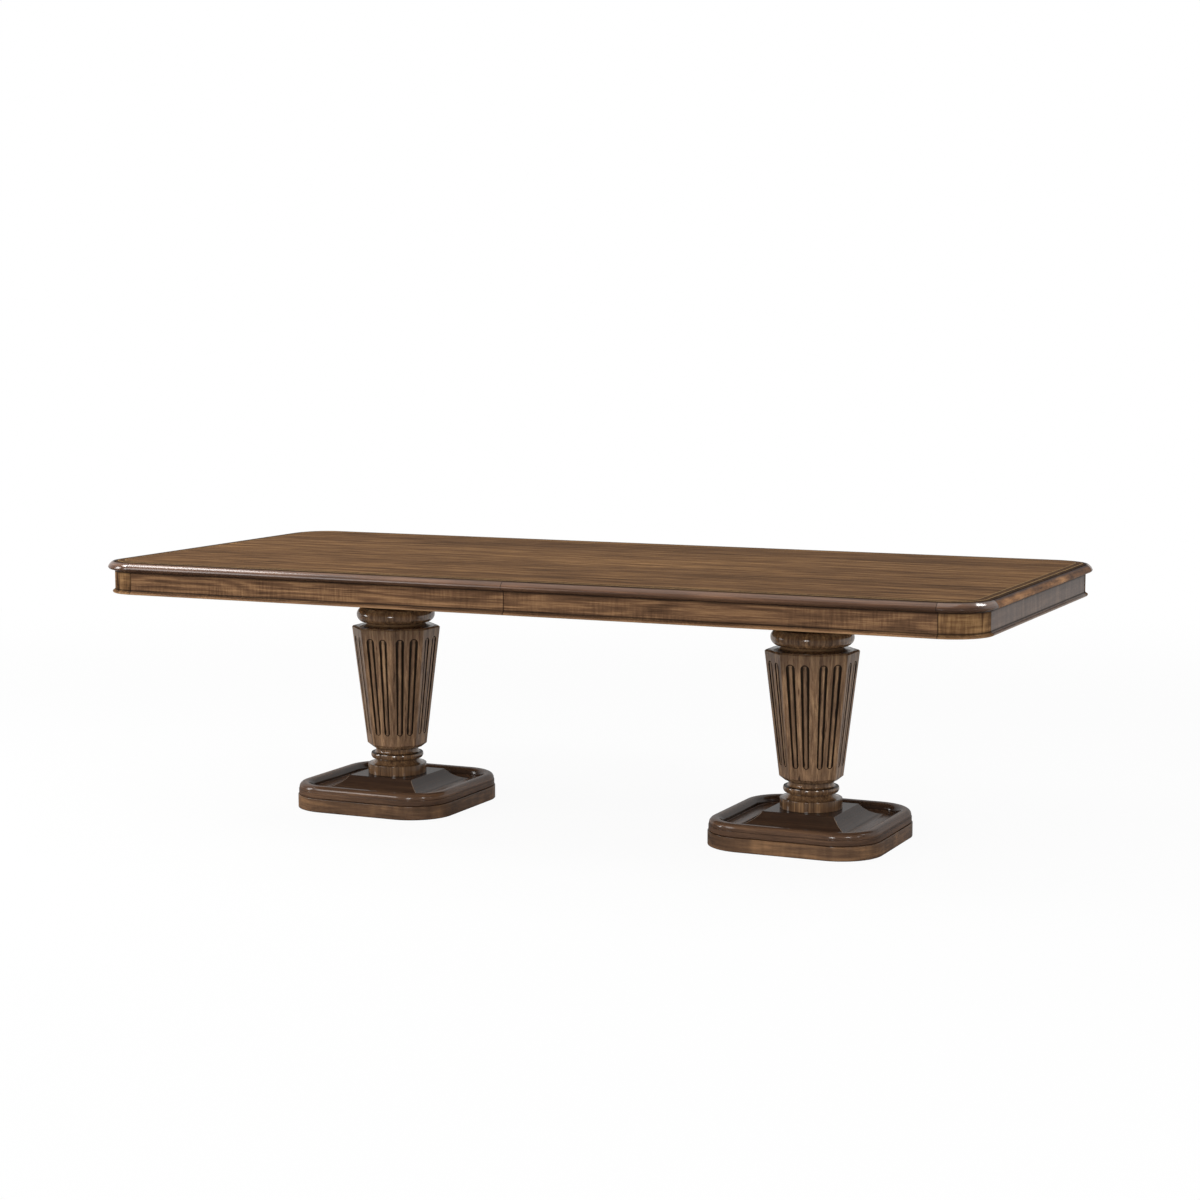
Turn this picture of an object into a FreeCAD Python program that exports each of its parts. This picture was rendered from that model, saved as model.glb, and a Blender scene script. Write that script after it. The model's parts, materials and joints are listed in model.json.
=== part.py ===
import FreeCAD, Part
import math
import os

# Extending dining table on two turned pedestals, in millimetres.
# The floor is z = 0 and the table's centre is x = 0, y = 0. X runs along the length.
# The top is split across its middle. The right half slides out along +X on two sets
# of wooden rails, and each half stands on its own pedestal.

Vector = FreeCAD.Vector
ORIGIN = Vector(0, 0, 0)
ALONG_X = Vector(1, 0, 0)
ALONG_Y = Vector(0, 1, 0)
UP = Vector(0, 0, 1)
DOWN = Vector(0, 0, -1)
LEFT = -1
RIGHT = 1
FULL_SHARE = 1.0

# Whole table
TABLE_LENGTH = 2660.0
TABLE_WIDTH = 1220.0
TABLE_HEIGHT = 762.0
CORNER_RADIUS = 125.0
SEAM_GAP = 0.5
PEDESTAL_SPACING = 1330.0
OVERRUN = 6.0

# Top panel, with its eased upper edge
PANEL_THICKNESS = 27.0
PANEL_INSET = 19.5
EASE_WIDTH = 16.5
EASE_DROP = 3.6

# Inlaid border: a dark crossband between two light strings
STRING_INSET = 29.0
STRING_WIDTH = 2.0
CROSSBAND_WIDTH = 17.0
INLAY_DEPTH = 1.5

# Edge bead, glued round the panel; each share is of its reach or of its height
BEAD_TOP_DROP = 2.2
BEAD_HEIGHT = 27.8
BEAD_QUIRK_SHARES = (0.0, 0.08)
BEAD_FILLET_SHARES = (0.16, 0.02)
BEAD_CREST_SHARES = (0.30, 0.0)
BEAD_SHOULDER_SHARES = (0.80, 0.29)
BEAD_WIDEST_SHARES = (1.0, 0.56)
BEAD_TUCK_SHARES = (0.87, 0.72)
BEAD_FOOT_SHARES = (0.54, 0.81)
BEAD_COVE_SHARES = (0.16, 0.87)
BEAD_HEEL_SHARES = (0.0, 1.0)

# Apron, with a small bead along its foot
APRON_DEPTH = 66.0
APRON_THICKNESS = 22.0
FOOT_BEAD_HEIGHT = 13.0
FOOT_BEAD_REACH = 7.2
FOOT_BEAD_NECK_SHARES = (0.0, 0.0)
FOOT_BEAD_COVE_SHARES = (0.30, 0.34)
FOOT_BEAD_BROW_SHARES = (0.86, 0.50)
FOOT_BEAD_WIDEST_SHARES = (1.0, 0.66)
FOOT_BEAD_SOLE_SHARES = (0.62, 1.0)

# Cross bearers and the board that carries each half on its pedestal
BEARER_WIDTH = 60.0
BEARER_THICKNESS = 22.0
BEARER_OFFSET = 130.0
BEARER_SCREW_SHARES = (-0.85, -0.45, 0.45, 0.85)
PLATE_WIDTH = 300.0
PLATE_THICKNESS = 22.0
PLATE_MARGIN = 10.0
PLATE_SCREW_SHARES = (-0.8, -0.3, 0.3, 0.8)

# Blocks that stiffen the apron
BRACE_REACH = 185.0
BRACE_THICKNESS = 28.0
BRACE_HEIGHT = 45.0
BLOCK_SECTION = 20.0
BLOCK_LENGTH = 60.0
SIDE_BLOCK_SHARE = 0.5
END_BLOCK_SHARES = (-0.35, 0.35)

# Wood screws, all alike, driven upwards
SCREW_LENGTH = 40.0
SCREW_RADIUS = 2.5
SCREW_HEAD_RADIUS = 5.0
SCREW_HEAD_HEIGHT = 3.0
SCREW_TIP_LENGTH = 5.0

# Extension slides: a rail on each half and a middle rail that rides between them
RAIL_END_GAP = 45.0
RAIL_HEIGHT = 45.0
RAIL_THICKNESS = 28.0
RAIL_PLACE_SHARE = 0.405
RAIL_GAP = 1.0
RAIL_RELIEF = 1.5
RAIL_COUNTERBORE_RADIUS = 7.0
RAIL_COUNTERBORE_DEPTH = 20.0
RAIL_SCREW_SHARES = (0.15, 0.50, 0.85)
TONGUE_REACH = 8.0
TONGUE_ROOT_HEIGHT = 8.0
TONGUE_TIP_HEIGHT = 14.0
SLIDE_CLEARANCE = 0.3

# Pins that line the halves up when the table is shut
PIN_RADIUS = 5.0
PIN_LENGTH = 40.0
PIN_EMBEDDED_SHARE = 0.6
PIN_PLACE_SHARES = (-0.75, -0.25, 0.25, 0.75)

# Swivel locks that hold the halves together
LOCK_PLACE_SHARE = 0.70
LOCK_SET_BACK = 30.0
LOCK_PLATE_LENGTH = 60.0
LOCK_PLATE_WIDTH = 26.0
LOCK_PLATE_THICKNESS = 2.0
LOCK_SCREW_SPACING = 44.0
LOCK_SCREW_RADIUS = 1.6
LOCK_SCREW_HEAD_RADIUS = 3.2
LOCK_SCREW_LENGTH = 14.0
LEVER_THICKNESS = 3.0
LEVER_HALF_WIDTH = 12.0
LEVER_TAIL = 26.0
LEVER_TAB_HEIGHT = 14.0
PIVOT_RADIUS = 4.0
PIVOT_HEAD_RADIUS = 7.0
PIVOT_HEAD_HEIGHT = 2.5
STUD_RADIUS = 4.0
STUD_PROUD = 1.5
LOCK_CLEARANCE = 0.3
PIVOT_CLEARANCE = 0.05

# Upper turning, between the column and the mounting board
CAP_FOOT_RADIUS = 118.0
CAP_FOOT_LIP = 1.0
CAP_THROAT_RADIUS = 86.5
CAP_COVE_HEIGHT = 11.3
CAP_COVE_SHARES = ((0.395, 0.094), (0.778, 0.372), (0.915, 0.616))
CAP_TORUS_RADIUS = 117.4
CAP_TORUS_SECTION = 23.2
CAP_NECK_RADIUS = 88.0
CAP_NECK_HEIGHT = 50.0
CAP_HEAD_RADIUS = 112.0
CAP_HEAD_COVE_SHARES = (0.30, 0.70)
CAP_HEAD_HEIGHT = 41.3
CAP_HEAD_LIP = 6.0

# Eight-sided column; its radii are to the corners, and its flats face the table's axes
COLUMN_SIDES = 8
COLUMN_HEAD_RADIUS = 133.0
COLUMN_HEAD_CHAMFER = 4.0
COLUMN_BASE_RADIUS = 90.0
COLUMN_BEVEL_HEIGHT = 13.0
COLUMN_BEVEL_RADIUS = 73.0

# Cabled flutes, two on each face of the column; the shares are of the face's width
FLUTE_BOTTOM_MARGIN = 32.0
FLUTE_TOP_MARGIN = 25.0
FLUTE_PLACE_SHARE = 0.215
FLUTE_HALF_WIDTH_SHARE = 0.133
FLUTE_DEPTH = 3.0
REED_WIDTH_SHARE = 0.76
REED_RADIUS_SHARE = 1.45
REED_SET_DOWN = 0.4

# Lower turning, between the plinth and the column
FOOT_DISC_RADIUS = 88.0
FOOT_DISC_HEIGHT = 28.0
FOOT_DISC_ROUND = 2.5
FOOT_FLARE_HEIGHT = 13.5
FOOT_FLARE_SHARES = (0.66, 0.31)
FOOT_NECK_RADIUS = 64.0
FOOT_RING_STEP = 2.5
FOOT_RING_SECTION = 12.5
FOOT_RING_CUT = 6.5
FOOT_QUIRK_STEP = 3.2
FOOT_COVE_HEIGHT = 6.5
FOOT_COVE_SHARES = (0.71, 0.32)
FOOT_COLLAR_HEIGHT = 8.5

# Plinth: a rounded square base under a moulded cap with a sunk, hipped field
PLINTH_SIDE = 504.0
PLINTH_CORNER_RADIUS = 125.0
PLINTH_BASE_THICKNESS = 40.0
PLINTH_STEP = 2.5
PLINTH_QUIRK = 2.5
PLINTH_BAND_HEIGHT = 17.0
PLINTH_RIM_STEP = 2.0
PLINTH_RIM_HEIGHT = 19.0
PLINTH_RIM_WIDTH = 40.0
PLINTH_CREST_SHARE = 0.48
PLINTH_OUTER_ROUND_SHARES = (0.17, 0.70)
PLINTH_INNER_ROUND_SHARES = (0.26, 0.80)
PLINTH_RIM_ROOT = 3.0
PLINTH_MOAT_DROP = 21.5
PLINTH_MOAT_WIDTH = 35.5
PLATEAU_HALF = 105.0
PLATEAU_RISE = 36.5

# Floor glides under the plinths
GLIDE_RADIUS = 16.0
GLIDE_HEIGHT = 2.0
GLIDE_PLACE_SHARE = 0.68

# Tie rod through each pedestal, with a flanged nut at each end
ROD_RADIUS = 6.0
ROD_BORE_CLEARANCE = 0.5
ROD_END = 3.0
NUT_HEIGHT = 10.0
NUT_FLANGE_HEIGHT = 2.0
NUT_FLANGE_RADIUS = 14.0
NUT_CORNER_RADIUS = 10.4
NUT_SIDES = 6
NUT_RECESS_RADIUS = 22.0
NUT_RECESS_DEPTH = 20.0

# Levels, worked out from the floor up and from the top down
PANEL_BOTTOM = TABLE_HEIGHT - PANEL_THICKNESS
APRON_BOTTOM = PANEL_BOTTOM - APRON_DEPTH
BEARER_BOTTOM = PANEL_BOTTOM - BEARER_THICKNESS
PLATE_BOTTOM = BEARER_BOTTOM - PLATE_THICKNESS
PLINTH_BASE_TOP = GLIDE_HEIGHT + PLINTH_BASE_THICKNESS
PLINTH_BAND_TOP = PLINTH_BASE_TOP + PLINTH_BAND_HEIGHT
PLINTH_CREST = PLINTH_BAND_TOP + PLINTH_RIM_HEIGHT
PLINTH_MOAT = PLINTH_CREST - PLINTH_MOAT_DROP
PLATEAU_TOP = PLINTH_MOAT + PLATEAU_RISE
FOOT_RING_BOTTOM = PLATEAU_TOP + FOOT_DISC_HEIGHT + FOOT_DISC_ROUND + FOOT_FLARE_HEIGHT
FOOT_RING_TOP = FOOT_RING_BOTTOM + FOOT_RING_SECTION + FOOT_RING_CUT
COLUMN_BOTTOM = FOOT_RING_TOP + FOOT_COVE_HEIGHT + FOOT_COLLAR_HEIGHT
CAP_HEIGHT = CAP_FOOT_LIP + CAP_COVE_HEIGHT + 2 * CAP_TORUS_SECTION + CAP_NECK_HEIGHT + CAP_HEAD_HEIGHT
COLUMN_TOP = PLATE_BOTTOM - CAP_HEIGHT

# Plan places shared by several pieces
HALF_LENGTH = TABLE_LENGTH / 2
HALF_WIDTH = TABLE_WIDTH / 2
SEAM_FACE = SEAM_GAP / 2
PEDESTAL_X = PEDESTAL_SPACING / 2
SIDE_RUN = HALF_LENGTH - CORNER_RADIUS - SEAM_FACE
END_RUN = TABLE_WIDTH - 2 * CORNER_RADIUS
APRON_INNER_INSET = PANEL_INSET + APRON_THICKNESS
INNER_END = HALF_LENGTH - APRON_INNER_INSET
INNER_SIDE = HALF_WIDTH - APRON_INNER_INSET
PLATE_LENGTH = 2 * BEARER_OFFSET + BEARER_WIDTH + 2 * PLATE_MARGIN
RAIL_LENGTH = PEDESTAL_SPACING - PLATE_LENGTH - 2 * RAIL_END_GAP
RAIL_OFFSET = INNER_SIDE * RAIL_PLACE_SHARE
RAIL_PITCH = RAIL_THICKNESS + RAIL_GAP
LOCK_OFFSET = INNER_SIDE * LOCK_PLACE_SHARE
LOCK_REACH = 2 * LOCK_SET_BACK
LEVER_TOP = PANEL_BOTTOM - LOCK_PLATE_THICKNESS - LOCK_CLEARANCE
LEVER_BOTTOM = LEVER_TOP - LEVER_THICKNESS


# Building blocks

def line(start, end):
    return Part.LineSegment(start, end).toShape()


def arc(start, middle, end):
    return Part.Arc(start, middle, end).toShape()


def face_of(edges):
    return Part.Face(Part.Wire(edges))


def polygon_face(points):
    return Part.Face(Part.makePolygon(points + points[:1]))


def share_of(start, end, share):
    return start + (end - start) * share


def mirrored(shape, normal):
    return shape.mirror(ORIGIN, normal)


def both_sides(shape):
    return [shape, mirrored(shape, ALONG_Y)]


def group(shapes):
    return Part.makeCompound(shapes)


def box(x_span, y_span, z_span):
    corner = Vector(x_span[0], y_span[0], z_span[0])
    size = (x_span[1] - x_span[0], y_span[1] - y_span[0], z_span[1] - z_span[0])
    return Part.makeBox(size[0], size[1], size[2], corner)


def centred(middle, size):
    return (middle - size / 2, middle + size / 2)


def on_pedestal(shape):
    return shape.translated(Vector(PEDESTAL_X, 0, 0))


def turned(edges):
    """A solid turned about the pedestal's axis from a closed outline in X and Z."""
    solid = face_of(edges).revolve(ORIGIN, UP, 360)
    return on_pedestal(solid.cut(rod_bore()))


def rod_bore():
    return Part.makeCylinder(ROD_RADIUS + ROD_BORE_CLEARANCE, TABLE_HEIGHT)


# The table's rounded outline, for the right half

def half_plan(inset):
    """Plan face of the right half, drawn in from the bead's widest line."""
    x_end = HALF_LENGTH - inset
    y_side = HALF_WIDTH - inset
    radius = CORNER_RADIUS - inset
    x_turn = x_end - radius
    y_turn = y_side - radius
    slant = radius * math.sqrt(0.5)
    edges = [
        line(Vector(SEAM_FACE, -y_side, 0), Vector(x_turn, -y_side, 0)),
        arc(
            Vector(x_turn, -y_side, 0),
            Vector(x_turn + slant, -y_turn - slant, 0),
            Vector(x_end, -y_turn, 0),
        ),
        line(Vector(x_end, -y_turn, 0), Vector(x_end, y_turn, 0)),
        arc(
            Vector(x_end, y_turn, 0),
            Vector(x_turn + slant, y_turn + slant, 0),
            Vector(x_turn, y_side, 0),
        ),
        line(Vector(x_turn, y_side, 0), Vector(SEAM_FACE, y_side, 0)),
        line(Vector(SEAM_FACE, y_side, 0), Vector(SEAM_FACE, -y_side, 0)),
    ]
    return face_of(edges)


def half_slab(inset, bottom, top):
    return half_plan(inset).translated(Vector(0, 0, bottom)).extrude(Vector(0, 0, top - bottom))


def half_ring(outer_inset, inner_inset, bottom, top):
    outer = half_slab(outer_inset, bottom, top)
    return outer.cut(half_slab(inner_inset, bottom - OVERRUN, top + OVERRUN))


def end_run(profile):
    """A moulding along the end; a profile is drawn in X and Z with x = -inset."""
    start = profile.translated(Vector(HALF_LENGTH, -END_RUN / 2, 0))
    return start.extrude(Vector(0, END_RUN, 0))


def back_run(profile):
    start = profile.rotated(ORIGIN, UP, 90).translated(Vector(SEAM_FACE, HALF_WIDTH, 0))
    return start.extrude(Vector(SIDE_RUN, 0, 0))


def back_corner(profile):
    centre = Vector(HALF_LENGTH - CORNER_RADIUS, HALF_WIDTH - CORNER_RADIUS, 0)
    start = profile.translated(Vector(HALF_LENGTH, HALF_WIDTH - CORNER_RADIUS, 0))
    return start.revolve(centre, UP, 90)


def ease_profile():
    """The waste above the panel's eased edge."""
    radius = (EASE_WIDTH ** 2 + EASE_DROP ** 2) / (2 * EASE_DROP)
    half_turn = math.asin(EASE_WIDTH / radius) / 2
    inner = -PANEL_INSET - EASE_WIDTH
    start = Vector(inner, 0, TABLE_HEIGHT)
    middle = Vector(
        inner + radius * math.sin(half_turn),
        0,
        TABLE_HEIGHT - radius * (1 - math.cos(half_turn)),
    )
    end = Vector(-PANEL_INSET, 0, TABLE_HEIGHT - EASE_DROP)
    outer = end + Vector(OVERRUN, 0, 0)
    above = TABLE_HEIGHT + OVERRUN
    edges = [
        arc(start, middle, end),
        line(end, outer),
        line(outer, Vector(outer.x, 0, above)),
        line(Vector(outer.x, 0, above), Vector(inner, 0, above)),
        line(Vector(inner, 0, above), start),
    ]
    return face_of(edges)


def ease_waste():
    profile = ease_profile()
    return [end_run(profile)] + both_sides(back_run(profile)) + both_sides(back_corner(profile))


# Screws

def wood_screw(place):
    head = Part.makeCone(SCREW_HEAD_RADIUS, SCREW_RADIUS, SCREW_HEAD_HEIGHT)
    tip_base = SCREW_LENGTH - SCREW_TIP_LENGTH
    shank_base = Vector(0, 0, SCREW_HEAD_HEIGHT)
    shank = Part.makeCylinder(SCREW_RADIUS, tip_base - SCREW_HEAD_HEIGHT, shank_base)
    tip = Part.makeCone(SCREW_RADIUS, 0, SCREW_TIP_LENGTH, Vector(0, 0, tip_base))
    return head.fuse([shank, tip]).removeSplitter().translated(place)


def bearer_places():
    return [PEDESTAL_X - BEARER_OFFSET, PEDESTAL_X + BEARER_OFFSET]


def frame_screws():
    """Screws up through the bearers, and through the mounting board into the bearers."""
    screws = []
    for x in bearer_places():
        for share in BEARER_SCREW_SHARES:
            screws.append(wood_screw(Vector(x, share * INNER_SIDE, BEARER_BOTTOM)))
        for share in PLATE_SCREW_SHARES:
            screws.append(wood_screw(Vector(x, share * PLATE_WIDTH / 2, PLATE_BOTTOM)))
    return screws


def rail_screws(side):
    """Screws up through one half's rails."""
    level = PANEL_BOTTOM - RAIL_HEIGHT + RAIL_COUNTERBORE_DEPTH
    screws = []
    for share in RAIL_SCREW_SHARES:
        place = Vector(side * share * RAIL_LENGTH / 2, fixed_rail_y(side), level)
        screws += both_sides(wood_screw(place))
    return screws


def half_screws(side):
    frame = [on_side(screw, side) for screw in frame_screws()]
    return frame + rail_screws(side)


def on_side(shape, side):
    """A shape drawn for the right half, as drawn or mirrored to the left."""
    if side == RIGHT:
        return shape
    return mirrored(shape, ALONG_X)


# Top

def inlay_bounds():
    outer = STRING_INSET
    band = outer + STRING_WIDTH
    string = band + CROSSBAND_WIDTH
    return outer, band, string, string + STRING_WIDTH


def top_panel(side):
    slab = half_slab(PANEL_INSET, PANEL_BOTTOM, TABLE_HEIGHT)
    outer, _, _, inner = inlay_bounds()
    groove = half_ring(outer, inner, TABLE_HEIGHT - INLAY_DEPTH, TABLE_HEIGHT + OVERRUN)
    panel = on_side(slab.cut(ease_waste() + [groove]), side)
    return panel.cut(half_screws(side) + pin_holes(side) + lock_screws(side))


def inlay_piece(outer, inner):
    ring = half_ring(outer, inner, TABLE_HEIGHT - INLAY_DEPTH, TABLE_HEIGHT)
    return ring.cut(ease_waste())


def inlay_strings(side):
    outer, band, string, inner = inlay_bounds()
    strings = [inlay_piece(outer, band), inlay_piece(string, inner)]
    return group([on_side(piece, side) for piece in strings])


def crossband(side):
    _, band, string, _ = inlay_bounds()
    return on_side(inlay_piece(band, string), side)


# Edge bead

def bead_point(shares):
    out_share, down_share = shares
    return Vector(
        PANEL_INSET * out_share - PANEL_INSET,
        0,
        TABLE_HEIGHT - BEAD_TOP_DROP - BEAD_HEIGHT * down_share,
    )


def bead_profile():
    quirk = bead_point(BEAD_QUIRK_SHARES)
    crest = bead_point(BEAD_CREST_SHARES)
    widest = bead_point(BEAD_WIDEST_SHARES)
    foot = bead_point(BEAD_FOOT_SHARES)
    heel = bead_point(BEAD_HEEL_SHARES)
    edges = [
        arc(quirk, bead_point(BEAD_FILLET_SHARES), crest),
        arc(crest, bead_point(BEAD_SHOULDER_SHARES), widest),
        arc(widest, bead_point(BEAD_TUCK_SHARES), foot),
        arc(foot, bead_point(BEAD_COVE_SHARES), heel),
        line(heel, quirk),
    ]
    return face_of(edges)


# Apron

def foot_point(shares):
    out_share, down_share = shares
    return Vector(
        FOOT_BEAD_REACH * out_share - PANEL_INSET,
        0,
        APRON_BOTTOM + FOOT_BEAD_HEIGHT * (1 - down_share),
    )


def apron_profile():
    neck = foot_point(FOOT_BEAD_NECK_SHARES)
    brow = foot_point(FOOT_BEAD_BROW_SHARES)
    sole = foot_point(FOOT_BEAD_SOLE_SHARES)
    top_outer = Vector(-PANEL_INSET, 0, PANEL_BOTTOM)
    top_inner = Vector(-APRON_INNER_INSET, 0, PANEL_BOTTOM)
    bottom_inner = Vector(-APRON_INNER_INSET, 0, APRON_BOTTOM)
    edges = [
        line(top_outer, neck),
        arc(neck, foot_point(FOOT_BEAD_COVE_SHARES), brow),
        arc(brow, foot_point(FOOT_BEAD_WIDEST_SHARES), sole),
        line(sole, bottom_inner),
        line(bottom_inner, top_inner),
        line(top_inner, top_outer),
    ]
    return face_of(edges)


def corner_pair(profile, side):
    return group([on_side(piece, side) for piece in both_sides(back_corner(profile))])


# Frame under the top

def bearer(x):
    return box(
        centred(x, BEARER_WIDTH),
        (-INNER_SIDE, INNER_SIDE),
        (BEARER_BOTTOM, PANEL_BOTTOM),
    )


def bearers(side):
    boards = [bearer(x).cut(frame_screws()) for x in bearer_places()]
    return group([on_side(board, side) for board in boards])


def mounting_board(side):
    board = box(
        centred(PEDESTAL_X, PLATE_LENGTH),
        centred(0, PLATE_WIDTH),
        (PLATE_BOTTOM, BEARER_BOTTOM),
    )
    return on_side(board.cut(frame_screws() + [on_pedestal(rod_bore())]), side)


def corner_brace():
    """A board across the back corner, mitred against the aprons."""
    short_reach = BRACE_REACH - BRACE_THICKNESS * math.sqrt(2)
    outline = [
        Vector(INNER_END - BRACE_REACH, INNER_SIDE, 0),
        Vector(INNER_END - short_reach, INNER_SIDE, 0),
        Vector(INNER_END, INNER_SIDE - short_reach, 0),
        Vector(INNER_END, INNER_SIDE - BRACE_REACH, 0),
    ]
    plan = polygon_face(outline).translated(Vector(0, 0, PANEL_BOTTOM - BRACE_HEIGHT))
    return plan.extrude(Vector(0, 0, BRACE_HEIGHT))


def corner_braces(side):
    return group([on_side(brace, side) for brace in both_sides(corner_brace())])


def side_block_places():
    """One block over the pedestal, and one in the middle of the open stretch on each side of it."""
    bearer_reach = BEARER_OFFSET + BEARER_WIDTH / 2
    inner = share_of(SEAM_FACE, PEDESTAL_X - bearer_reach, SIDE_BLOCK_SHARE)
    outer = share_of(PEDESTAL_X + bearer_reach, INNER_END - BRACE_REACH, SIDE_BLOCK_SHARE)
    return [inner, PEDESTAL_X, outer]


def glue_blocks(side):
    levels = (PANEL_BOTTOM - BLOCK_SECTION, PANEL_BOTTOM)
    blocks = []
    for x in side_block_places():
        x_span = centred(x, BLOCK_LENGTH)
        blocks += both_sides(box(x_span, (INNER_SIDE - BLOCK_SECTION, INNER_SIDE), levels))
    for share in END_BLOCK_SHARES:
        y_span = centred(share * INNER_SIDE, BLOCK_LENGTH)
        blocks.append(box((INNER_END - BLOCK_SECTION, INNER_END), y_span, levels))
    return group([on_side(block, side) for block in blocks])


# Extension slides

def fixed_rail_y(side):
    """The left half's rails lie outside the middle rail, and the right half's inside it."""
    return RAIL_OFFSET - side * RAIL_PITCH


def rail_middle():
    return PANEL_BOTTOM - RAIL_HEIGHT / 2


def tongue(face_y, direction, clearance):
    """A dovetail along the rail, pointing from a side face along Y."""
    root = TONGUE_ROOT_HEIGHT / 2 + clearance
    tip = TONGUE_TIP_HEIGHT / 2 + clearance
    tip_y = face_y + direction * (TONGUE_REACH + clearance)
    start = -RAIL_LENGTH / 2
    middle = rail_middle()
    section = [
        Vector(start, face_y, middle - root),
        Vector(start, tip_y, middle - tip),
        Vector(start, tip_y, middle + tip),
        Vector(start, face_y, middle + root),
    ]
    return polygon_face(section).extrude(Vector(RAIL_LENGTH, 0, 0))


def middle_rail():
    levels = (PANEL_BOTTOM - RAIL_HEIGHT, PANEL_BOTTOM - RAIL_RELIEF)
    body = box(centred(0, RAIL_LENGTH), centred(RAIL_OFFSET, RAIL_THICKNESS), levels)
    tongues = [
        tongue(RAIL_OFFSET + direction * RAIL_THICKNESS / 2, direction, 0)
        for direction in (-1, 1)
    ]
    return body.fuse(tongues).removeSplitter()


def rail_groove(side):
    """The room for the middle rail's tongue, open towards the middle rail."""
    tongue_face = RAIL_OFFSET - side * RAIL_THICKNESS / 2
    return tongue(tongue_face, -side, SLIDE_CLEARANCE)


def fixed_rail(side):
    """The back rail of one half, lowered where it runs on under the other half."""
    y_span = centred(fixed_rail_y(side), RAIL_THICKNESS)
    body = box(centred(0, RAIL_LENGTH), y_span, (PANEL_BOTTOM - RAIL_HEIGHT, PANEL_BOTTOM))
    free_span = sorted((0, -side * (RAIL_LENGTH / 2 + OVERRUN)))
    wide_span = (y_span[0] - OVERRUN, y_span[1] + OVERRUN)
    relief = box(free_span, wide_span, (PANEL_BOTTOM - RAIL_RELIEF, PANEL_BOTTOM + OVERRUN))
    return body.cut([relief, rail_groove(side)] + counterbores(side) + rail_screws(side))


def counterbores(side):
    bottom = PANEL_BOTTOM - RAIL_HEIGHT - OVERRUN
    depth = RAIL_COUNTERBORE_DEPTH + OVERRUN
    bores = []
    for share in RAIL_SCREW_SHARES:
        place = Vector(side * share * RAIL_LENGTH / 2, fixed_rail_y(side), bottom)
        bores.append(Part.makeCylinder(RAIL_COUNTERBORE_RADIUS, depth, place))
    return bores


# Pins across the seam, fixed in the right half

def pin_level():
    return PANEL_BOTTOM + PANEL_THICKNESS / 2


def pin_places():
    return [share * INNER_SIDE for share in PIN_PLACE_SHARES]


def pin_start():
    return SEAM_FACE + PIN_LENGTH * PIN_EMBEDDED_SHARE


def alignment_pins():
    pins = []
    for y in pin_places():
        start = Vector(pin_start(), y, pin_level())
        pins.append(Part.makeCylinder(PIN_RADIUS, PIN_LENGTH, start, -ALONG_X))
    return pins


def pin_holes(side):
    """Tight holes in the right half, and deeper and looser sockets in the left."""
    if side == RIGHT:
        return alignment_pins()
    depth = PIN_LENGTH - PIN_LENGTH * PIN_EMBEDDED_SHARE
    sockets = []
    for y in pin_places():
        radius = PIN_RADIUS + SLIDE_CLEARANCE
        mouth = Vector(0, y, pin_level())
        sockets.append(Part.makeCylinder(radius, depth + PIN_RADIUS, mouth, -ALONG_X))
    return sockets


# Swivel locks

def lock_plate(x, y):
    """A flat plate, let in under the top, with countersunk holes for its screws."""
    return box(
        centred(x, LOCK_PLATE_WIDTH),
        centred(y, LOCK_PLATE_LENGTH),
        (PANEL_BOTTOM - LOCK_PLATE_THICKNESS, PANEL_BOTTOM),
    )


def lock_screw(x, y):
    seat = Vector(x, y, PANEL_BOTTOM - LOCK_PLATE_THICKNESS)
    head = Part.makeCone(LOCK_SCREW_HEAD_RADIUS, LOCK_SCREW_RADIUS, LOCK_PLATE_THICKNESS, seat)
    shank_length = LOCK_SCREW_LENGTH - LOCK_PLATE_THICKNESS
    shank = Part.makeCylinder(LOCK_SCREW_RADIUS, shank_length, Vector(x, y, PANEL_BOTTOM))
    return head.fuse(shank).removeSplitter()


def lock_screws(side):
    screws = []
    for direction in (-1, 1):
        y = LOCK_OFFSET + direction * LOCK_SCREW_SPACING / 2
        screws += both_sides(lock_screw(side * LOCK_SET_BACK, y))
    return screws


def lock_plates():
    plate = lock_plate(-LOCK_SET_BACK, LOCK_OFFSET)
    return group([piece.cut(lock_screws(LEFT) + lock_pivots()) for piece in both_sides(plate)])


def lock_pivot():
    """A shouldered rivet: its shank fills the plate, and its head holds the lever up."""
    head_top = LEVER_BOTTOM - LOCK_CLEARANCE
    centre = Vector(-LOCK_SET_BACK, LOCK_OFFSET, head_top)
    shank = Part.makeCylinder(PIVOT_RADIUS, PANEL_BOTTOM - head_top, centre)
    head = Part.makeCylinder(PIVOT_HEAD_RADIUS, PIVOT_HEAD_HEIGHT, centre, DOWN)
    return shank.fuse(head).removeSplitter()


def lock_pivots():
    return both_sides(lock_pivot())


def keeper():
    """A plate under the right half with the stud that the lever hooks over."""
    plate = lock_plate(LOCK_SET_BACK, LOCK_OFFSET)
    stud_bottom = LEVER_BOTTOM - STUD_PROUD
    stud_height = PANEL_BOTTOM - LOCK_PLATE_THICKNESS / 2 - stud_bottom
    stud = Part.makeCylinder(STUD_RADIUS, stud_height, Vector(LOCK_SET_BACK, LOCK_OFFSET, stud_bottom))
    return plate.fuse(stud).removeSplitter()


def keepers():
    return group([piece.cut(lock_screws(RIGHT)) for piece in both_sides(keeper())])


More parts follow.
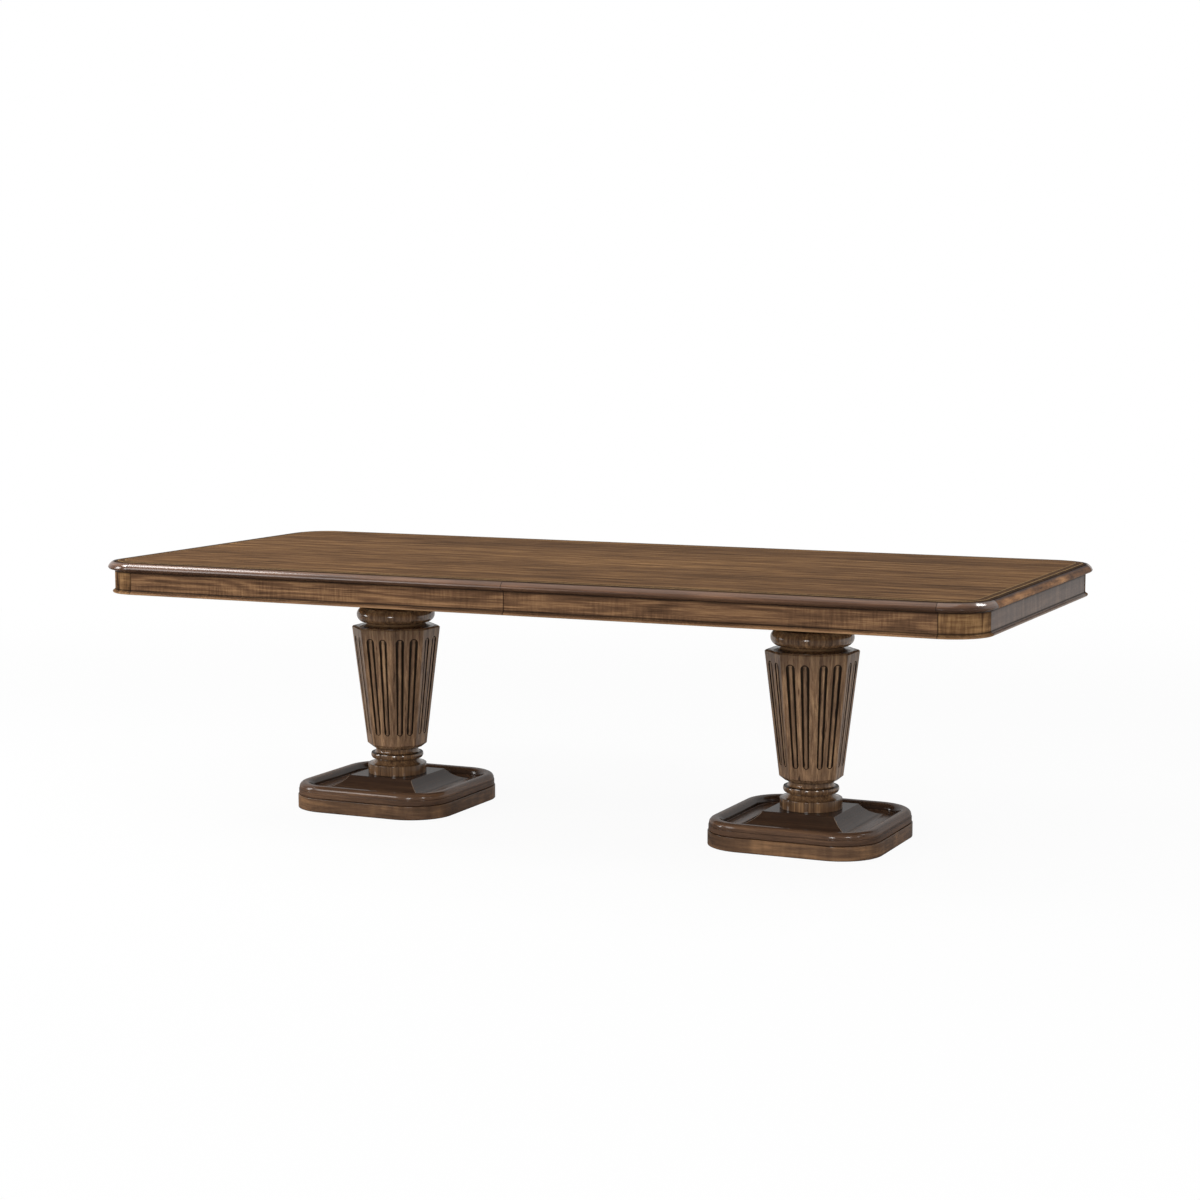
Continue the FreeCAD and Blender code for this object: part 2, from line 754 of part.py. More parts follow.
def lever_outline():
    """The lever drawn along +X from its pivot, with round ends."""
    half = LEVER_HALF_WIDTH
    tail = -LEVER_TAIL + half
    nose = LOCK_REACH
    edges = [
        line(Vector(tail, -half, 0), Vector(nose, -half, 0)),
        arc(Vector(nose, -half, 0), Vector(nose + half, 0, 0), Vector(nose, half, 0)),
        line(Vector(nose, half, 0), Vector(tail, half, 0)),
        arc(Vector(tail, half, 0), Vector(tail - half, 0, 0), Vector(tail, -half, 0)),
    ]
    return face_of(edges)


def lever_slot():
    """The way in for the stud, an arc about the pivot that opens on the leading edge."""
    half = STUD_RADIUS + LOCK_CLEARANCE
    outer = Part.makeCylinder(LOCK_REACH + half, LEVER_THICKNESS + 2 * OVERRUN, Vector(0, 0, -OVERRUN))
    inner_height = LEVER_THICKNESS + 4 * OVERRUN
    inner = Part.makeCylinder(LOCK_REACH - half, inner_height, Vector(0, 0, -2 * OVERRUN))
    leading = box(
        (0, 2 * LOCK_REACH),
        (-2 * LOCK_REACH, 0),
        (-2 * OVERRUN, LEVER_THICKNESS + 2 * OVERRUN),
    )
    seat = Part.makeCylinder(half, LEVER_THICKNESS + 2 * OVERRUN, Vector(LOCK_REACH, 0, -OVERRUN))
    return outer.cut(inner).common(leading).fuse(seat)


def lock_lever():
    """The back lever, turned a quarter turn out of lock."""
    blade = lever_outline().extrude(Vector(0, 0, LEVER_THICKNESS))
    bore = Part.makeCylinder(PIVOT_RADIUS + PIVOT_CLEARANCE, LEVER_THICKNESS)
    tab_x = (-LEVER_TAIL, -LEVER_TAIL + LEVER_THICKNESS)
    tab_base = LEVER_THICKNESS - LEVER_TAB_HEIGHT
    tab = box(tab_x, centred(0, LEVER_HALF_WIDTH), (tab_base, LEVER_THICKNESS))
    lever = blade.fuse(tab).cut([bore, lever_slot()]).removeSplitter()
    opened = lever.rotated(ORIGIN, UP, 90)
    return opened.translated(Vector(-LOCK_SET_BACK, LOCK_OFFSET, LEVER_BOTTOM))


# Pedestal

def cap_turning():
    torus_centre = CAP_TORUS_RADIUS - CAP_TORUS_SECTION
    lip_top = COLUMN_TOP + CAP_FOOT_LIP
    cove_top = lip_top + CAP_COVE_HEIGHT
    torus_middle = cove_top + CAP_TORUS_SECTION
    torus_top = torus_middle + CAP_TORUS_SECTION
    neck_top = torus_top + CAP_NECK_HEIGHT
    lip_bottom = PLATE_BOTTOM - CAP_HEAD_LIP
    head_out, head_up = CAP_HEAD_COVE_SHARES
    foot = Vector(CAP_FOOT_RADIUS, 0, lip_top)
    throat = Vector(CAP_THROAT_RADIUS, 0, cove_top)
    torus_foot = Vector(torus_centre, 0, cove_top)
    cove = []
    for inward, upward in CAP_COVE_SHARES:
        radius = share_of(CAP_FOOT_RADIUS, CAP_THROAT_RADIUS, inward)
        cove.append(Vector(radius, 0, share_of(lip_top, cove_top, upward)))
    head_middle = Vector(
        share_of(CAP_NECK_RADIUS, CAP_HEAD_RADIUS, head_out),
        0,
        share_of(neck_top, lip_bottom, head_up),
    )
    edges = [
        line(Vector(0, 0, COLUMN_TOP), Vector(CAP_FOOT_RADIUS, 0, COLUMN_TOP)),
        line(Vector(CAP_FOOT_RADIUS, 0, COLUMN_TOP), foot),
        arc(foot, cove[0], cove[1]),
        arc(cove[1], cove[2], throat),
        line(throat, torus_foot),
        arc(torus_foot, Vector(CAP_TORUS_RADIUS, 0, torus_middle), Vector(torus_centre, 0, torus_top)),
        line(Vector(torus_centre, 0, torus_top), Vector(CAP_NECK_RADIUS, 0, torus_top)),
        line(Vector(CAP_NECK_RADIUS, 0, torus_top), Vector(CAP_NECK_RADIUS, 0, neck_top)),
        arc(Vector(CAP_NECK_RADIUS, 0, neck_top), head_middle, Vector(CAP_HEAD_RADIUS, 0, lip_bottom)),
        line(Vector(CAP_HEAD_RADIUS, 0, lip_bottom), Vector(CAP_HEAD_RADIUS, 0, PLATE_BOTTOM)),
        line(Vector(CAP_HEAD_RADIUS, 0, PLATE_BOTTOM), Vector(0, 0, PLATE_BOTTOM)),
        line(Vector(0, 0, PLATE_BOTTOM), Vector(0, 0, COLUMN_TOP)),
    ]
    return turned(edges)


def octagon(radius, level):
    """A wire with its flats facing the axes."""
    step = 2 * math.pi / COLUMN_SIDES
    corners = []
    for index in range(COLUMN_SIDES):
        angle = (index + 0.5) * step
        corners.append(Vector(radius * math.cos(angle), radius * math.sin(angle), level))
    return Part.makePolygon(corners + corners[:1])


def face_slope():
    """The foot, the length, the two half widths and the tilt of one face of the column."""
    half_turn = math.pi / COLUMN_SIDES
    low_flat = COLUMN_BASE_RADIUS * math.cos(half_turn)
    high_flat = COLUMN_HEAD_RADIUS * math.cos(half_turn)
    rise = COLUMN_TOP - COLUMN_HEAD_CHAMFER - COLUMN_BOTTOM - COLUMN_BEVEL_HEIGHT
    run = high_flat - low_flat
    length = math.hypot(rise, run)
    widths = (2 * low_flat * math.tan(half_turn), 2 * high_flat * math.tan(half_turn))
    tilt = math.degrees(math.atan2(run, rise))
    return low_flat, length, widths, tilt


def flute_outline(width_share):
    """One flute's outline on the face, with Y across it and Z up it."""
    _, length, widths, _ = face_slope()
    low = FLUTE_BOTTOM_MARGIN
    high = length - FLUTE_TOP_MARGIN
    low_width = share_of(widths[0], widths[1], low / length)
    high_width = share_of(widths[0], widths[1], high / length)
    low_middle = low_width * FLUTE_PLACE_SHARE
    high_middle = high_width * FLUTE_PLACE_SHARE
    low_full = low_width * FLUTE_HALF_WIDTH_SHARE
    high_full = high_width * FLUTE_HALF_WIDTH_SHARE
    low_half = low_full * width_share
    high_half = high_full * width_share
    low_centre = Vector(0, low_middle, low + low_full)
    high_centre = Vector(0, high_middle, high - high_full)
    return low_centre, high_centre, low_half, high_half


def flute_prism(width_share, floor, ceiling):
    low, high, low_half, high_half = flute_outline(width_share)
    across_low = Vector(0, low_half, 0)
    across_high = Vector(0, high_half, 0)
    edges = [
        line(low + across_low, high + across_high),
        arc(high + across_high, high + Vector(0, 0, high_half), high - across_high),
        line(high - across_high, low - across_low),
        arc(low - across_low, low - Vector(0, 0, low_half), low + across_low),
    ]
    start = face_of(edges).translated(Vector(floor, 0, 0))
    return start.extrude(Vector(ceiling - floor, 0, 0))


def reed():
    """The rounded cable left standing in the flute."""
    low, high, low_half, high_half = flute_outline(FULL_SHARE)
    low_radius = low_half * REED_RADIUS_SHARE
    high_radius = high_half * REED_RADIUS_SHARE
    axis = high - low
    reach = axis.Length
    unit = axis * (1 / reach)
    spread = (high_radius - low_radius) / reach
    overrun = low_half + high_half
    start_radius = low_radius - spread * overrun
    end_radius = high_radius + spread * overrun
    sunk_low = Vector(-REED_SET_DOWN - start_radius, 0, 0)
    sunk_high = Vector(-REED_SET_DOWN - end_radius, 0, 0)
    start = low - unit * overrun + sunk_low
    end = high + unit * overrun + sunk_high
    cone = Part.makeCone(start_radius, end_radius, (end - start).Length, start, end - start)
    return cone.common(flute_prism(REED_WIDTH_SHARE, -FLUTE_DEPTH - OVERRUN, OVERRUN))


def flute_waste():
    low_flat, _, _, tilt = face_slope()
    pocket = flute_prism(FULL_SHARE, -FLUTE_DEPTH, OVERRUN).cut(reed())
    foot = Vector(low_flat, 0, COLUMN_BOTTOM + COLUMN_BEVEL_HEIGHT)
    pair = []
    for flute in both_sides(pocket):
        pair.append(flute.rotated(ORIGIN, ALONG_Y, tilt).translated(foot))
    waste = []
    for index in range(COLUMN_SIDES):
        waste += [flute.rotated(ORIGIN, UP, index * 360 / COLUMN_SIDES) for flute in pair]
    return waste


def column():
    sections = [
        octagon(COLUMN_BEVEL_RADIUS, COLUMN_BOTTOM),
        octagon(COLUMN_BASE_RADIUS, COLUMN_BOTTOM + COLUMN_BEVEL_HEIGHT),
        octagon(COLUMN_HEAD_RADIUS, COLUMN_TOP - COLUMN_HEAD_CHAMFER),
        octagon(COLUMN_HEAD_RADIUS - COLUMN_HEAD_CHAMFER, COLUMN_TOP),
    ]
    shaft = Part.makeLoft(sections, True, True)
    return on_pedestal(shaft.cut(flute_waste() + [rod_bore()]))


def lower_turning():
    disc_top = PLATEAU_TOP + FOOT_DISC_HEIGHT
    flare_radius = FOOT_DISC_RADIUS - FOOT_DISC_ROUND
    flare_bottom = disc_top + FOOT_DISC_ROUND
    flare_top = flare_bottom + FOOT_FLARE_HEIGHT
    ring_middle = FOOT_RING_BOTTOM + FOOT_RING_SECTION
    ring_centre = FOOT_NECK_RADIUS + FOOT_RING_STEP
    ring_radius = ring_centre + FOOT_RING_SECTION
    edge_radius = ring_centre + math.sqrt(FOOT_RING_SECTION**2 - FOOT_RING_CUT**2)
    quirk_radius = edge_radius - FOOT_QUIRK_STEP
    cove_top = FOOT_RING_TOP + FOOT_COVE_HEIGHT
    slant = FOOT_DISC_ROUND * math.sqrt(0.5)
    flare_in, flare_up = FOOT_FLARE_SHARES
    cove_in, cove_up = FOOT_COVE_SHARES
    round_middle = Vector(flare_radius + slant, 0, disc_top + slant)
    flare_middle = Vector(
        share_of(flare_radius, FOOT_NECK_RADIUS, flare_in),
        0,
        share_of(flare_bottom, flare_top, flare_up),
    )
    ring_foot = Vector(ring_centre, 0, FOOT_RING_BOTTOM)
    ring_edge = Vector(edge_radius, 0, FOOT_RING_TOP)
    quirk = Vector(quirk_radius, 0, FOOT_RING_TOP)
    cove_middle = Vector(
        share_of(quirk_radius, FOOT_NECK_RADIUS, cove_in),
        0,
        share_of(FOOT_RING_TOP, cove_top, cove_up),
    )
    edges = [
        line(Vector(0, 0, PLATEAU_TOP), Vector(FOOT_DISC_RADIUS, 0, PLATEAU_TOP)),
        line(Vector(FOOT_DISC_RADIUS, 0, PLATEAU_TOP), Vector(FOOT_DISC_RADIUS, 0, disc_top)),
        arc(Vector(FOOT_DISC_RADIUS, 0, disc_top), round_middle, Vector(flare_radius, 0, flare_bottom)),
        arc(Vector(flare_radius, 0, flare_bottom), flare_middle, Vector(FOOT_NECK_RADIUS, 0, flare_top)),
        line(Vector(FOOT_NECK_RADIUS, 0, flare_top), ring_foot),
        arc(ring_foot, Vector(ring_radius, 0, ring_middle), ring_edge),
        line(ring_edge, quirk),
        arc(quirk, cove_middle, Vector(FOOT_NECK_RADIUS, 0, cove_top)),
        line(Vector(FOOT_NECK_RADIUS, 0, cove_top), Vector(FOOT_NECK_RADIUS, 0, COLUMN_BOTTOM)),
        line(Vector(FOOT_NECK_RADIUS, 0, COLUMN_BOTTOM), Vector(0, 0, COLUMN_BOTTOM)),
        line(Vector(0, 0, COLUMN_BOTTOM), Vector(0, 0, PLATEAU_TOP)),
    ]
    return turned(edges)


# Plinth

def rounded_square(inset, level):
    half = PLINTH_SIDE / 2 - inset
    radius = PLINTH_CORNER_RADIUS - inset
    turn = half - radius
    slant = turn + radius * math.sqrt(0.5)
    edges = []
    for index in range(4):
        start = Vector(half, -turn, level)
        corner = Vector(half, turn, level)
        quarter = [
            line(start, corner),
            arc(corner, Vector(slant, slant, level), Vector(turn, half, level)),
        ]
        edges += [edge.rotated(ORIGIN, UP, 90 * index) for edge in quarter]
    return face_of(edges)


def plinth_base():
    block = rounded_square(0, GLIDE_HEIGHT).extrude(Vector(0, 0, PLINTH_BASE_THICKNESS))
    recess_top = GLIDE_HEIGHT + NUT_RECESS_DEPTH
    recess = Part.makeCylinder(NUT_RECESS_RADIUS, recess_top)
    return on_pedestal(block.cut([recess, rod_bore()]))


def rim_profile():
    """The cap's moulded rim in X and Z with x = -inset, from its quirk to the sunk field."""
    band = PLINTH_STEP
    shoulder = band + PLINTH_RIM_STEP
    inner = band + PLINTH_RIM_WIDTH
    crest_inset = share_of(band, inner, PLINTH_CREST_SHARE)
    outer_in, outer_up = PLINTH_OUTER_ROUND_SHARES
    inner_in, inner_up = PLINTH_INNER_ROUND_SHARES
    crest = Vector(-crest_inset, 0, PLINTH_CREST)
    root = PLINTH_MOAT - PLINTH_RIM_ROOT
    foot = Vector(-inner, 0, root)
    outer_round = Vector(
        -share_of(shoulder, crest_inset, outer_in),
        0,
        share_of(PLINTH_BAND_TOP, PLINTH_CREST, outer_up),
    )
    inner_round = Vector(
        -share_of(inner, crest_inset, inner_in),
        0,
        share_of(root, PLINTH_CREST, inner_up),
    )
    corners = [
        Vector(-inner, 0, PLINTH_BASE_TOP),
        Vector(-band - PLINTH_QUIRK, 0, PLINTH_BASE_TOP),
        Vector(-band, 0, PLINTH_BASE_TOP + PLINTH_QUIRK),
        Vector(-band, 0, PLINTH_BAND_TOP),
        Vector(-shoulder, 0, PLINTH_BAND_TOP),
    ]
    edges = [line(start, end) for start, end in zip(corners[:-1], corners[1:])]
    edges.append(arc(corners[-1], outer_round, crest))
    edges.append(arc(crest, inner_round, foot))
    edges.append(line(foot, corners[0]))
    return face_of(edges)


def plinth_rim():
    """The rim all round, from four straight runs and four corners."""
    half = PLINTH_SIDE / 2
    run = PLINTH_SIDE - 2 * PLINTH_CORNER_RADIUS
    turn = half - PLINTH_CORNER_RADIUS
    profile = rim_profile()
    straight = profile.translated(Vector(half, -run / 2, 0)).extrude(Vector(0, run, 0))
    corner = profile.translated(Vector(half, turn, 0)).revolve(Vector(turn, turn, 0), UP, 90)
    pieces = []
    for index in range(4):
        pieces += [piece.rotated(ORIGIN, UP, 90 * index) for piece in (straight, corner)]
    return pieces


def field_ridge():
    """A ridge along Y: a flat top, hollow sides, and a level strip that runs in under the rim."""
    hollow_end = PLINTH_SIDE / 2 - PLINTH_STEP - PLINTH_RIM_WIDTH - PLINTH_MOAT_WIDTH
    edge = PLINTH_SIDE / 2 - PLINTH_STEP
    run = hollow_end - PLATEAU_HALF
    radius = (run ** 2 + PLATEAU_RISE ** 2) / (2 * PLATEAU_RISE)
    half_turn = math.asin(run / radius) / 2
    hollow_x = hollow_end - radius * math.sin(half_turn)
    hollow_z = PLINTH_MOAT + radius * (1 - math.cos(half_turn))
    edges = [
        line(Vector(-PLATEAU_HALF, 0, PLATEAU_TOP), Vector(PLATEAU_HALF, 0, PLATEAU_TOP)),
        arc(
            Vector(PLATEAU_HALF, 0, PLATEAU_TOP),
            Vector(hollow_x, 0, hollow_z),
            Vector(hollow_end, 0, PLINTH_MOAT),
        ),
        line(Vector(hollow_end, 0, PLINTH_MOAT), Vector(edge, 0, PLINTH_MOAT)),
        line(Vector(edge, 0, PLINTH_MOAT), Vector(edge, 0, PLINTH_BASE_TOP)),
        line(Vector(edge, 0, PLINTH_BASE_TOP), Vector(-edge, 0, PLINTH_BASE_TOP)),
        line(Vector(-edge, 0, PLINTH_BASE_TOP), Vector(-edge, 0, PLINTH_MOAT)),
        line(Vector(-edge, 0, PLINTH_MOAT), Vector(-hollow_end, 0, PLINTH_MOAT)),
        arc(
            Vector(-hollow_end, 0, PLINTH_MOAT),
            Vector(-hollow_x, 0, hollow_z),
            Vector(-PLATEAU_HALF, 0, PLATEAU_TOP),
        ),
    ]
    start = face_of(edges).translated(Vector(0, -edge, 0))
    return start.extrude(Vector(0, 2 * edge, 0))


def plinth_cap():
    """The hipped field is where two crossed ridges meet; its edge is buried in the rim."""
    ridge = field_ridge()
    buried_inset = PLINTH_STEP + PLINTH_RIM_WIDTH / 2
    well = rounded_square(buried_inset, PLINTH_BASE_TOP).extrude(Vector(0, 0, PLATEAU_TOP))
    field = ridge.common(ridge.rotated(ORIGIN, UP, 90)).common(well)
    cap = field.fuse(plinth_rim()).removeSplitter()
    return on_pedestal(cap.cut(rod_bore()))


def floor_glides(side):
    offset = PLINTH_SIDE / 2 * GLIDE_PLACE_SHARE
    glides = []
    for x in (-offset, offset):
        for y in (-offset, offset):
            place = Vector(PEDESTAL_X + x, y, 0)
            glides.append(on_side(Part.makeCylinder(GLIDE_RADIUS, GLIDE_HEIGHT, place), side))
    return group(glides)


def nut_seats():
    return GLIDE_HEIGHT + NUT_RECESS_DEPTH, BEARER_BOTTOM


def tie_rod():
    low_seat, high_seat = nut_seats()
    low = low_seat - NUT_HEIGHT - ROD_END
    high = high_seat + NUT_HEIGHT + ROD_END
    return on_pedestal(Part.makeCylinder(ROD_RADIUS, high - low, Vector(0, 0, low)))


def flange_nut():
    """A nut with its flange on z = 0 and its hexagon above."""
    corners = []
    for index in range(NUT_SIDES):
        angle = index * 2 * math.pi / NUT_SIDES
        x = NUT_CORNER_RADIUS * math.cos(angle)
        y = NUT_CORNER_RADIUS * math.sin(angle)
        corners.append(Vector(x, y, 0))
    hexagon = polygon_face(corners).extrude(Vector(0, 0, NUT_HEIGHT))
    flange = Part.makeCylinder(NUT_FLANGE_RADIUS, NUT_FLANGE_HEIGHT)
    bore = Part.makeCylinder(ROD_RADIUS, NUT_HEIGHT)
    return hexagon.fuse(flange).cut(bore).removeSplitter()


def tie_nuts(side):
    low_seat, high_seat = nut_seats()
    nut = flange_nut()
    upper = nut.translated(Vector(PEDESTAL_X, 0, high_seat))
    lower = nut.mirror(ORIGIN, UP).translated(Vector(PEDESTAL_X, 0, low_seat))
    return group([on_side(piece, side) for piece in (upper, lower)])


# All pieces by name

def half_pieces(name, side):
    bead = bead_profile()
    apron = apron_profile()
    bead_back = back_run(bead)
    apron_back = back_run(apron)
    pieces = {
        "top_panel": top_panel(side),
        "inlay_strings": inlay_strings(side),
        "crossband": crossband(side),
        "bead_front": on_side(mirrored(bead_back, ALONG_Y), side),
        "bead_end": on_side(end_run(bead), side),
        "bead_back": on_side(bead_back, side),
        "bead_corners": corner_pair(bead, side),
        "apron_front": on_side(mirrored(apron_back, ALONG_Y), side),
        "apron_end": on_side(end_run(apron), side),
        "apron_back": on_side(apron_back, side),
        "apron_corners": corner_pair(apron, side),
        "bearers": bearers(side),
        "mounting_board": mounting_board(side),
        "corner_braces": corner_braces(side),
        "glue_blocks": glue_blocks(side),
        "slide_rails": group(both_sides(fixed_rail(side))),
        "wood_screws": group(half_screws(side)),
        "cap_turning": on_side(cap_turning(), side),
        "column": on_side(column(), side),
        "lower_turning": on_side(lower_turning(), side),
        "plinth_cap": on_side(plinth_cap(), side),
        "plinth_base": on_side(plinth_base(), side),
        "glides": floor_glides(side),
        "tie_rod": on_side(tie_rod(), side),
        "tie_nuts": tie_nuts(side),
        "lock_screws": group(lock_screws(side)),
    }
    return {f"{name}_{piece}": shape for piece, shape in pieces.items()}


def shared_pieces():
    lever = lock_lever()
    return {
        "middle_rails": group(both_sides(middle_rail())),
        "right_alignment_pins": group(alignment_pins()),
        "left_lock_plates": lock_plates(),
        "left_lock_pivots": group(lock_pivots()),
        "right_keepers": keepers(),
        "back_lock_lever": lever,
        "front_lock_lever": mirrored(lever, ALONG_Y),
    }


def main():
    os.makedirs("parts", exist_ok=True)
    pieces = {}
    pieces.update(half_pieces("left", LEFT))
    pieces.update(half_pieces("right", RIGHT))
    pieces.update(shared_pieces())
    for name, shape in pieces.items():
        solids = len(shape.Solids)
        print(f"{name}: {solids} solid(s), volume {shape.Volume:.0f}, valid {shape.isValid()}")
        shape.exportStep(f"parts/{name}.step")


main()
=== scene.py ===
"""Looks of an extending dining table that stands on two turned pedestals.

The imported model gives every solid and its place. This script dresses those solids in
stained and lacquered wood, steel and plastic, and puts them on a plain pale stage.
All lengths are in metres. X runs along the table, Z is up and the floor is z = 0.
"""

import json
import logging
import math
from dataclasses import dataclass
from enum import Enum
from typing import Any, Callable, Union

import bpy
from mathutils import Matrix, Vector

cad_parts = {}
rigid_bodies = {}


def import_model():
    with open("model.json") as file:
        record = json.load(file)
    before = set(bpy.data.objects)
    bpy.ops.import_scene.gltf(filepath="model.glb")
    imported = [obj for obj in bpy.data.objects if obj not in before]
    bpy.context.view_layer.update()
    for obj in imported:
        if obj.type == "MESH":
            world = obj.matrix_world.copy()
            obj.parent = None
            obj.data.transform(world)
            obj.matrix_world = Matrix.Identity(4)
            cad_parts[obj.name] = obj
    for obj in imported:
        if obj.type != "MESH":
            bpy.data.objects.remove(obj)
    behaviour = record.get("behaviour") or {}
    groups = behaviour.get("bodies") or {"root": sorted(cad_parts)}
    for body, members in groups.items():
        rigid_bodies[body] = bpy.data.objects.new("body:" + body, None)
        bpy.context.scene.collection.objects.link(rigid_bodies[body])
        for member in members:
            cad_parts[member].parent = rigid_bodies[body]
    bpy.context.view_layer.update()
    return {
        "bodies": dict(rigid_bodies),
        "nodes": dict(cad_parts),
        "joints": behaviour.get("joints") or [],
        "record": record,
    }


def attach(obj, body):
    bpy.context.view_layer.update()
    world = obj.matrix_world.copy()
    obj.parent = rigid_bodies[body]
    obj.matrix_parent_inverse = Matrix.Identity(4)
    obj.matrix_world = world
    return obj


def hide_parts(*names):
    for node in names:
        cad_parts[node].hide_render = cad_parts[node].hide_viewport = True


LOG = logging.getLogger("table")

Number = Union["Value", float, int]
Colour = tuple[float, float, float]
Place = tuple[Number, Number, Number]
Point = tuple[float, float, float]
Span = tuple[float, float]

COLUMN_SIDES = 8

# The tone of a wood's body, between 0 for its dark and 1 for its light lines.
BODY_TONE = 0.5

# How far noise and chance swing to either side of their mean.
SWING = 0.5

# How far a wood's pattern moves from one seed, half, board or stave to the next.
SEED_SHIFT = 3.7
HALF_SHIFT = 5.3
BOARD_SHIFT = 7.3
STAVE_SHIFT = 3.1
STAVES_APART = 11.0
HALF_STEP = 0.5

# How far fibres that run round an edge drift down for each metre further in.
EDGE_DRIFT = 0.8

# Patches of ripple: how often they come along and across the fibres, and their edge.
PATCH_RATES = (4.0, 11.0)
PATCH_DETAIL = 2.0
PATCH_EDGE = (-0.14, 0.16)

# Smudges in the lacquer, how far joints and painted shade dull it, and the fibres'
# relief.
SMUDGE_RATE = 6.0
SMUDGE_DETAIL = 3.0
SMUDGE_ON_SHINE = 0.3
SMUDGE_ON_ROUGHNESS = 0.12
JOINT_AND_SHADE_DULLING = 0.8
FIBRE_BUMP = 0.25
FIBRE_HEIGHT = 0.0002


class Value:
    """A number that varies over a surface, with Python's operators as Math nodes."""

    def __init__(self, graph: "Graph", socket: bpy.types.NodeSocket) -> None:
        """Wraps an output socket that gives one number, and notes its node tree."""
        self.graph = graph
        self.socket = socket

    def math(self, operation: str, *others: Number) -> "Value":
        """Adds a Math node that starts with this value.

        Args:
            operation: The Math node's operation.
            others: Its second and third inputs.

        Returns:
            The node's result.
        """
        inputs = dict(enumerate((self, *others)))
        node = self.graph.node("ShaderNodeMath", {"operation": operation}, inputs)
        return Value(self.graph, node.outputs[0])

    def __add__(self, other: Number) -> "Value":
        """This value plus another."""
        return self.math("ADD", other)

    def __sub__(self, other: Number) -> "Value":
        """This value less another."""
        return self.math("SUBTRACT", other)

    def __rsub__(self, other: Number) -> "Value":
        """Another value less this one."""
        return self.math("MULTIPLY_ADD", -1.0, other)

    def __mul__(self, other: Number) -> "Value":
        """This value times another."""
        return self.math("MULTIPLY", other)

    def __truediv__(self, other: Number) -> "Value":
        """This value over another."""
        return self.math("DIVIDE", other)

    def __neg__(self) -> "Value":
        """This value with its sign turned."""
        return self.math("MULTIPLY", -1.0)

    def __abs__(self) -> "Value":
        """This value without its sign."""
        return self.math("ABSOLUTE")

    def step(self, low: float, high: float) -> "Value":
        """A smooth step from 0 at low to 1 at high, or down if high is the smaller."""
        node = self.graph.node(
            "ShaderNodeMapRange",
            {"interpolation_type": "SMOOTHSTEP"},
            {"Value": self, "From Min": low, "From Max": high},
        )
        return Value(self.graph, node.outputs["Result"])


